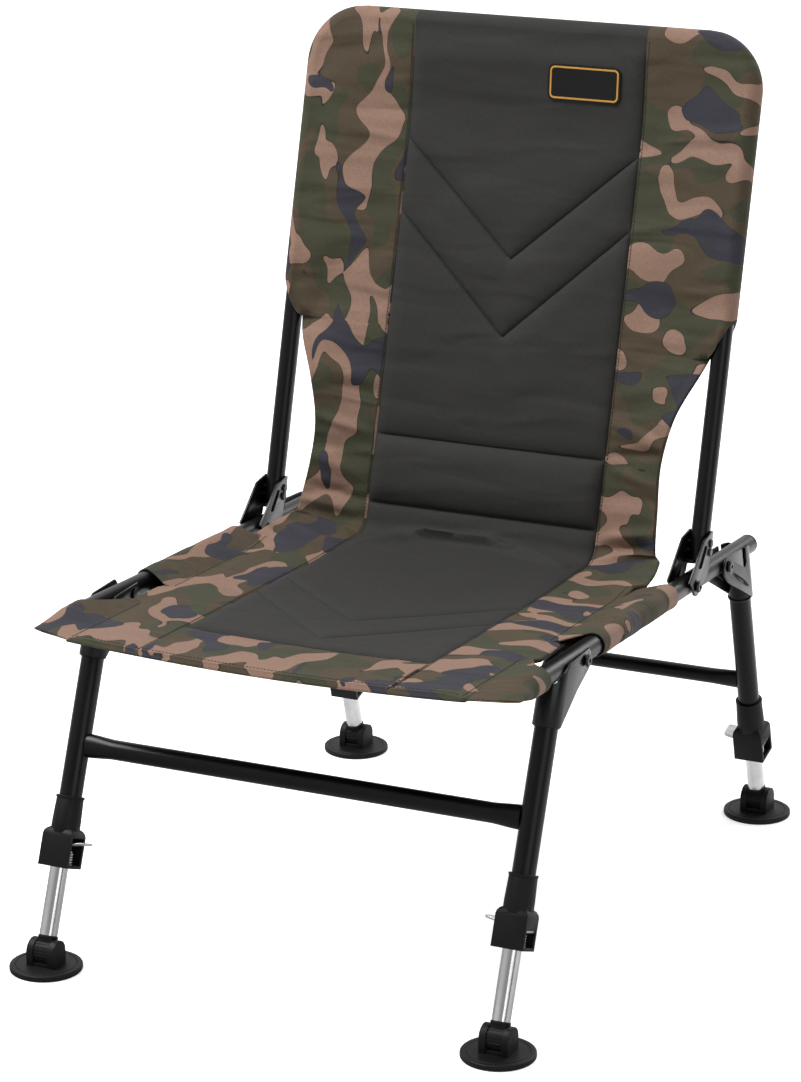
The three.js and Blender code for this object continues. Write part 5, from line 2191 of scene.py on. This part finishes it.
def pressed_bead(start: tuple, end: tuple, face: float, width: float, rise: float, bow: float = 0) -> Part:
    """A bead pressed out of a cheek: a long round ridge between two places (y, z) on it.

    Args:
        start: one end.
        end: the other end.
        face: the cheek's place on X; the sign tells which way the bead stands out.
        width: the bead's width.
        rise: its height over the cheek.
        bow: how far its middle bends aside.

    Returns:
        The new part.
    """
    run = Vector((0, end[0] - start[0], end[1] - start[1]))
    part = Part.rod("bead", width / 2, -run.length / 2, run.length / 2, 20)
    part.bevelled(0.49 * width, 5, 60)
    for share in (-0.3, -0.15, 0, 0.15, 0.3):
        part.sliced((0, 0, share * run.length), (0, 0, 1))
    for vertex in part.object.data.vertices:
        vertex.co.x *= 2 * rise / width
        vertex.co.y += bow * (1 - (2 * vertex.co.z / run.length) ** 2)
    middle = Matrix.Translation((face, (start[0] + end[0]) / 2, (start[1] + end[1]) / 2))
    return part.placed(run.to_track_quat("Z", "X").to_matrix().to_4x4(), middle)


@dataclass
class Brackets(Maker):
    """The pressed channels that carry the legs and the back on their bolts."""

    edge: float = 0.5 * MM
    bead_width: float = 4 * MM
    bead_rise: float = 0.4 * MM
    bead_bow: float = 3 * MM
    bead_start: tuple = (12 * MM, 0.22)
    bead_end: tuple = (0.82, 0.72)
    leg_face: float = 13.4 * MM
    back_bead: tuple = ((2 * MM, 17 * MM), (13 * MM, 40 * MM))
    back_face: float = 12.4 * MM
    weld_line: float = 11.3 * MM
    weld_radius: float = 1.2 * MM
    shank_radius: float = 2.1 * MM
    head_radius: float = 4.2 * MM
    head_height: float = 1.7 * MM
    head_round: float = 1.5 * MM

    def leg_bracket(self, side: Side, legs: LegSet) -> None:
        """Builds the bracket of one leg, with a weld round its foot and a faint bead in a rear one.

        Args:
            side: the side of the chair.
            legs: the front or the rear legs.
        """
        name = f"{side.label}_{legs.end}_leg_bracket"
        part = formed(name, self.edge)
        low = local_span(name, legs.matrix)[0]
        way = math.copysign(1, legs.leg_offset)
        start = (way * self.bead_start[0], low.z * self.bead_start[1])
        end = (legs.leg_offset * self.bead_end[0], low.z * self.bead_end[1])
        details = []
        for cheek in (-1, 1) if legs.end == "rear" else ():
            face = side.value * STANCE.half_track + cheek * self.leg_face
            bow = way * self.bead_bow
            details.append(pressed_bead(start, end, face, self.bead_width, self.bead_rise, bow))
        weld = Part.weld(self.weld_line, self.weld_radius, 0.3 * MM, 19)
        details.append(weld.placed(side.shift(legs.leg_offset, low.z + 0.3 * MM)))
        for detail in details:
            detail.placed(legs.matrix)
        part.joined(*details).smoothed(32)
        part.dressed(self.palette.bracket, Finish.BRACKET, legs.body, name)

    def back_bracket(self, side: Side) -> None:
        """Builds the bracket at one foot of the back tube, with a bead in each cheek.

        Args:
            side: the side of the chair.
        """
        name = f"{side.label}_back_bracket"
        part = formed(name, self.edge)
        details = []
        for cheek in (-1, 1):
            face = side.value * STANCE.half_track + cheek * self.back_face
            bead = pressed_bead(*self.back_bead, face, self.bead_width, self.bead_rise)
            details.append(bead.placed(STANCE.back_matrix))
        part.joined(*details).smoothed(32)
        part.dressed(self.palette.bracket, Finish.BRACKET, "back", name)

    def rivet(self, side: Side, level: str) -> None:
        """Builds one rivet across the bracket: a shank and two domed heads.

        Args:
            side: the side of the chair.
            level: upper or lower.
        """
        name = f"{side.label}_back_{level}_rivet"
        low, high = local_span(name, STANCE.back_matrix)
        middle = (low + high) / 2
        half = (high.x - low.x) / 2
        shank = Part.rod(f"{name}_steel", self.shank_radius, -half + 0.5 * MM, half - 0.5 * MM, 16)
        heads = []
        for way in (-1, 1):
            near, far = sorted((way * (half - self.head_height), way * half))
            head = Part.rod("head", self.head_radius, near, far, 28)
            with head.editing():
                head.pick_faces(lambda centre, normal: normal.z * way > 0.9)
                bpy.ops.mesh.bevel(offset=self.head_round, segments=5, affect="EDGES")
            heads.append(head)
        shank.joined(*heads)
        shank.placed(Matrix.Translation(middle) @ ACROSS, STANCE.back_matrix).smoothed(40)
        shank.dressed(self.palette.bolt, Finish.BOLT, "back", name)

    def build(self) -> None:
        """Builds the six brackets and the four rivets."""
        for side in Side:
            for legs in (FRONT_LEGS, REAR_LEGS):
                self.leg_bracket(side, legs)
            self.back_bracket(side)
            for level in ("upper", "lower"):
                self.rivet(side, level)


@dataclass
class Corner(Maker):
    """What hangs on one leg: its names and its places."""

    legs: LegSet
    side: Side

    @property
    def corner(self) -> str:
        """The corner's name in the node names."""
        return f"{self.side.label}_{self.legs.end}"

    @property
    def on_leg(self) -> Matrix:
        """Frame of the leg: its axis is Z."""
        return self.legs.matrix @ self.side.shift(self.legs.leg_offset)

    def over_foot(self, up: float) -> Matrix:
        """A move to a height over the foot's centre."""
        return self.side.shift(self.legs.foot_way * STANCE.half_foot_base, up)


@dataclass
class Adjuster(Corner):
    """Housing, spring and jam plate at the lower end of one leg tube."""

    edge: float = 0.6 * MM
    collar_radius: float = 13.3 * MM
    rim_rise: float = 0.45 * MM
    rim_height: float = 2.2 * MM
    wire: float = 0.75 * MM
    turns: int = 5

    def housing(self) -> None:
        """Builds the housing, with a rim round its collar."""
        name = f"{self.corner}_adjuster_housing"
        high = local_span(name, self.on_leg)[1].z
        part = formed(name, self.edge)
        radius, wall = self.collar_radius + self.rim_rise, self.rim_rise + 1.6 * MM
        rim = Part.tube("rim", radius, wall, high - self.rim_height, high + 0.2 * MM, 56)
        rim.bevelled(0.4 * MM, 2, 60)
        part.joined(rim.placed(self.on_leg)).smoothed(32)
        part.dressed(self.palette.plastic, Finish.PLASTIC, self.legs.body, name)

    def spring(self) -> None:
        """Winds the spring: a small circle turned and raised by a screw, with closed ends."""
        name = f"{self.corner}_adjuster_spring"
        low, high = local_span(name, self.on_leg)
        radius = (high.x - low.x) / 2 - self.wire
        Part.clear()
        place = (radius, 0, low.z + self.wire)
        bpy.ops.mesh.primitive_circle_add(
            vertices=10, radius=self.wire, location=place, rotation=(math.pi / 2, 0, 0)
        )
        part = Part(f"{name}_wire").settle()
        climb = (high.z - low.z - 2 * self.wire) / self.turns
        part.modify("SCREW", angle=2 * math.pi, screw_offset=climb, iterations=self.turns, steps=28)
        with part.editing("EDGE"):
            bpy.ops.mesh.select_non_manifold()
            bpy.ops.mesh.fill_holes(sides=0)
        part.turned_out().placed(self.on_leg).smoothed(50)
        # The spring takes the lighter copy of the zinc plating, painted light against the housing's shade.
        part.dressed(self.palette.spring, Finish.ZINC, self.legs.body, name)

    def plate(self) -> None:
        """Builds the jam plate with rounded edges."""
        name = f"{self.corner}_lock_plate"
        part = formed(name, 0.35 * MM).smoothed(32)
        part.dressed(self.palette.zinc, Finish.ZINC, f"{self.corner}_lock", name)

    def build(self) -> None:
        """Builds the three pieces."""
        self.housing()
        self.spring()
        self.plate()


@dataclass
class SwivelFoot(Corner):
    """Foot disc with two lugs, and the knuckle between them under the inner leg."""

    disc_radius: float = 35 * MM
    disc_thick: float = 6 * MM
    groove_inset: float = 3.2 * MM
    lug_half: float = 12.4 * MM
    lug_inner: float = 7.6 * MM
    lug_outer: float = 14.6 * MM
    lug_edge: float = 1.4 * MM
    cradle_half: float = 11.5 * MM
    cradle_top: float = 9.5 * MM
    cradle_radius: float = 12 * MM
    pin_end: float = 12.8 * MM
    barrel_radius: float = 11.5 * MM
    barrel_half: float = 7.3 * MM
    pin_radius: float = 3.9 * MM
    neck_radius: float = 9.5 * MM
    neck_foot: float = 12.8 * MM
    neck_top: float = 15 * MM
    stem_half: float = 6.8 * MM
    plug_radius: float = 7 * MM
    plug_length: float = 19 * MM
    ribs: int = 40

    def disc(self) -> None:
        """Builds the disc: a grooved top, two round-topped lugs with blind holes, and a cradle between."""
        pivot = STANCE.foot_pivot_height
        part = Part.rod(f"{self.corner}_foot_disc_sole", self.disc_radius, 0, self.disc_thick, 96)
        part.bevelled(1.7 * MM, 4, 60)
        wide, deep = 0.5 * MM, 0.6 * MM
        part.inset(
            lambda centre, normal: normal.z > 0.99 and centre.z > self.disc_thick * 0.9,
            *((self.groove_inset, 0), (wide, -deep), (wide, 0), (wide, deep)),
        )
        top = pivot + self.lug_half
        lugs = []
        for way in (-1, 1):
            near, far = sorted((way * self.lug_inner, way * self.lug_outer))
            lug = Part.block("lug", (near, -self.lug_half, 3 * MM), (far, self.lug_half, top))
            with lug.editing("EDGE"):
                lug.pick_edges(lambda a, b: min(a.z, b.z) > top - MM and abs(a.y - b.y) < MM)
                round_top = self.lug_half * 0.999
                bpy.ops.mesh.bevel(offset=round_top, segments=14, affect="EDGES", clamp_overlap=False)
            lug.merged().bevelled(self.lug_edge, 4, 50)
            lug.hollowed(self.pin_radius + 0.4 * MM, self.pin_end + 0.4 * MM, pivot)
            lugs.append(lug)
        low = (-self.lug_inner - MM, -self.cradle_half, 4 * MM)
        cradle = Part.block("cradle", low, (self.lug_inner + MM, self.cradle_half, self.cradle_top))
        cradle.hollowed(self.cradle_radius, self.disc_radius, pivot).bevelled(0.3 * MM, 2, 50)
        part.joined(*lugs, cradle)
        part.placed(self.over_foot(0)).smoothed(32)
        part.dressed(self.palette.plastic, Finish.PLASTIC, f"{self.corner}_foot", f"{self.corner}_foot_disc")

    def hub(self) -> None:
        """Builds the knuckle: a ribbed barrel on two pins, with a neck that fills the tube's end."""
        name = f"{self.corner}_foot_hub"
        half = self.barrel_half
        barrel = Part.rod(f"{name}_knuckle", self.barrel_radius, -half, half, self.ribs)
        with barrel.editing():
            step = 2 * math.pi / self.ribs
            barrel.pick_faces(
                lambda centre, normal: abs(normal.z) < 0.1
                and round(math.atan2(centre.y, centre.x) / step - 0.5) % 2 == 0
            )
            bpy.ops.mesh.inset(thickness=0.3 * MM, depth=-0.45 * MM, use_individual=True)
        pins = Part.rod("pins", self.pin_radius, -self.pin_end, self.pin_end, 28).bevelled(0.5 * MM, 2, 60)
        neck = Part.rod("neck", self.neck_radius, self.neck_foot, self.neck_top, 48)
        neck.bevelled(0.5 * MM, 2, 60)
        high = self.neck_foot + 0.5 * MM
        stem = Part.block("stem", (-half, -self.stem_half, 6 * MM), (half, self.stem_half, high))
        plug = Part.rod("plug", self.plug_radius, self.neck_top - MM, self.neck_top + self.plug_length, 32)
        barrel.placed(ACROSS).joined(pins.placed(ACROSS), neck, stem, plug)
        pivot = self.legs.matrix.inverted() @ self.over_foot(STANCE.foot_pivot_height).translation
        barrel.placed(Matrix.Translation(pivot), self.legs.matrix).smoothed(32)
        barrel.dressed(self.palette.plastic, Finish.PLASTIC, f"{self.corner}_telescope", name)

    def build(self) -> None:
        """Builds both pieces."""
        self.disc()
        self.hub()


@dataclass
class Badge(Maker):
    """A small bare patch sewn on the back, with a plain raised border."""

    cover: SlingCover
    width: float = 78 * MM
    height: float = 36 * MM
    thick: float = 1.9 * MM
    corner: float = 7 * MM
    across: float = 64 * MM
    up: float = 480 * MM
    margin: float = 1.5 * MM
    border: float = 1.5 * MM
    border_rise: float = 0.4 * MM

    def build(self) -> None:
        """Builds the patch flat, borders it, and lays it on the cover."""
        half, high = self.width / 2, self.height / 2
        part = Part.block("back_badge", (-half, -high, 0), (half, high, self.thick))
        with part.editing("EDGE"):
            part.pick_edges(lambda a, b: abs(a.z - b.z) > self.thick / 2)
            bpy.ops.mesh.bevel(offset=self.corner, segments=6, affect="EDGES")
        part.object.data.materials.append(self.palette.rubber)
        part.object.data.materials.append(self.palette.gold)
        slant, rise = 0.2 * MM, self.border_rise
        steps = ((0.5 * MM, 0), (self.margin, 0), (slant, rise), (self.border, 0), (slant, -rise))
        part.inset(lambda centre, normal: normal.z > 0.9, *steps)
        for face in part.object.data.polygons:
            gold = face.center.z > self.thick + 0.3 * rise and len(face.vertices) == 4
            face.material_index = int(gold)
        for place in np.linspace(-half, half, 13)[1:-1]:
            part.sliced((place, 0, 0), (1, 0, 0))
        for place in np.linspace(-high, high, 7)[1:-1]:
            part.sliced((0, place, 0), (0, 1, 0))
        mesh = part.object.data
        flat = np.array([vertex.co for vertex in mesh.vertices])
        across = self.across + flat[:, 0]
        along = self.cover.on_back(self.up + flat[:, 1])
        out = self.cover.front(across, along) + flat[:, 2] - 0.2 * MM
        for vertex, place in zip(mesh.vertices, self.cover.point(across, along, out)):
            vertex.co = place
        part.smoothed(30).filed(Finish.BADGE, "back", "badge")


def main() -> None:
    """Builds the chair and its studio."""
    logging.basicConfig(level=logging.INFO, format="%(message)s")
    Part.clear()
    Studio().build()
    palette = Palette()
    for maker in (SideRails, BackTube, Brackets):
        maker(palette).build()
    for legs in (FRONT_LEGS, REAR_LEGS):
        LegFrame(palette, legs).build()
        for side in Side:
            Adjuster(palette, legs, side).build()
            SwivelFoot(palette, legs, side).build()
    cover = SlingCover(palette)
    Badge(palette, cover).build()
    built = cover.build()
    SeatSleeves(palette, cover).build(built)
    sheet, stitching = built.object, Stitching(palette, cover).build().object
    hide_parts("seat_cover", "back_cover")
    for piece in (sheet, stitching):
        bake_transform(piece)


if __name__ == "__main__":
    main()
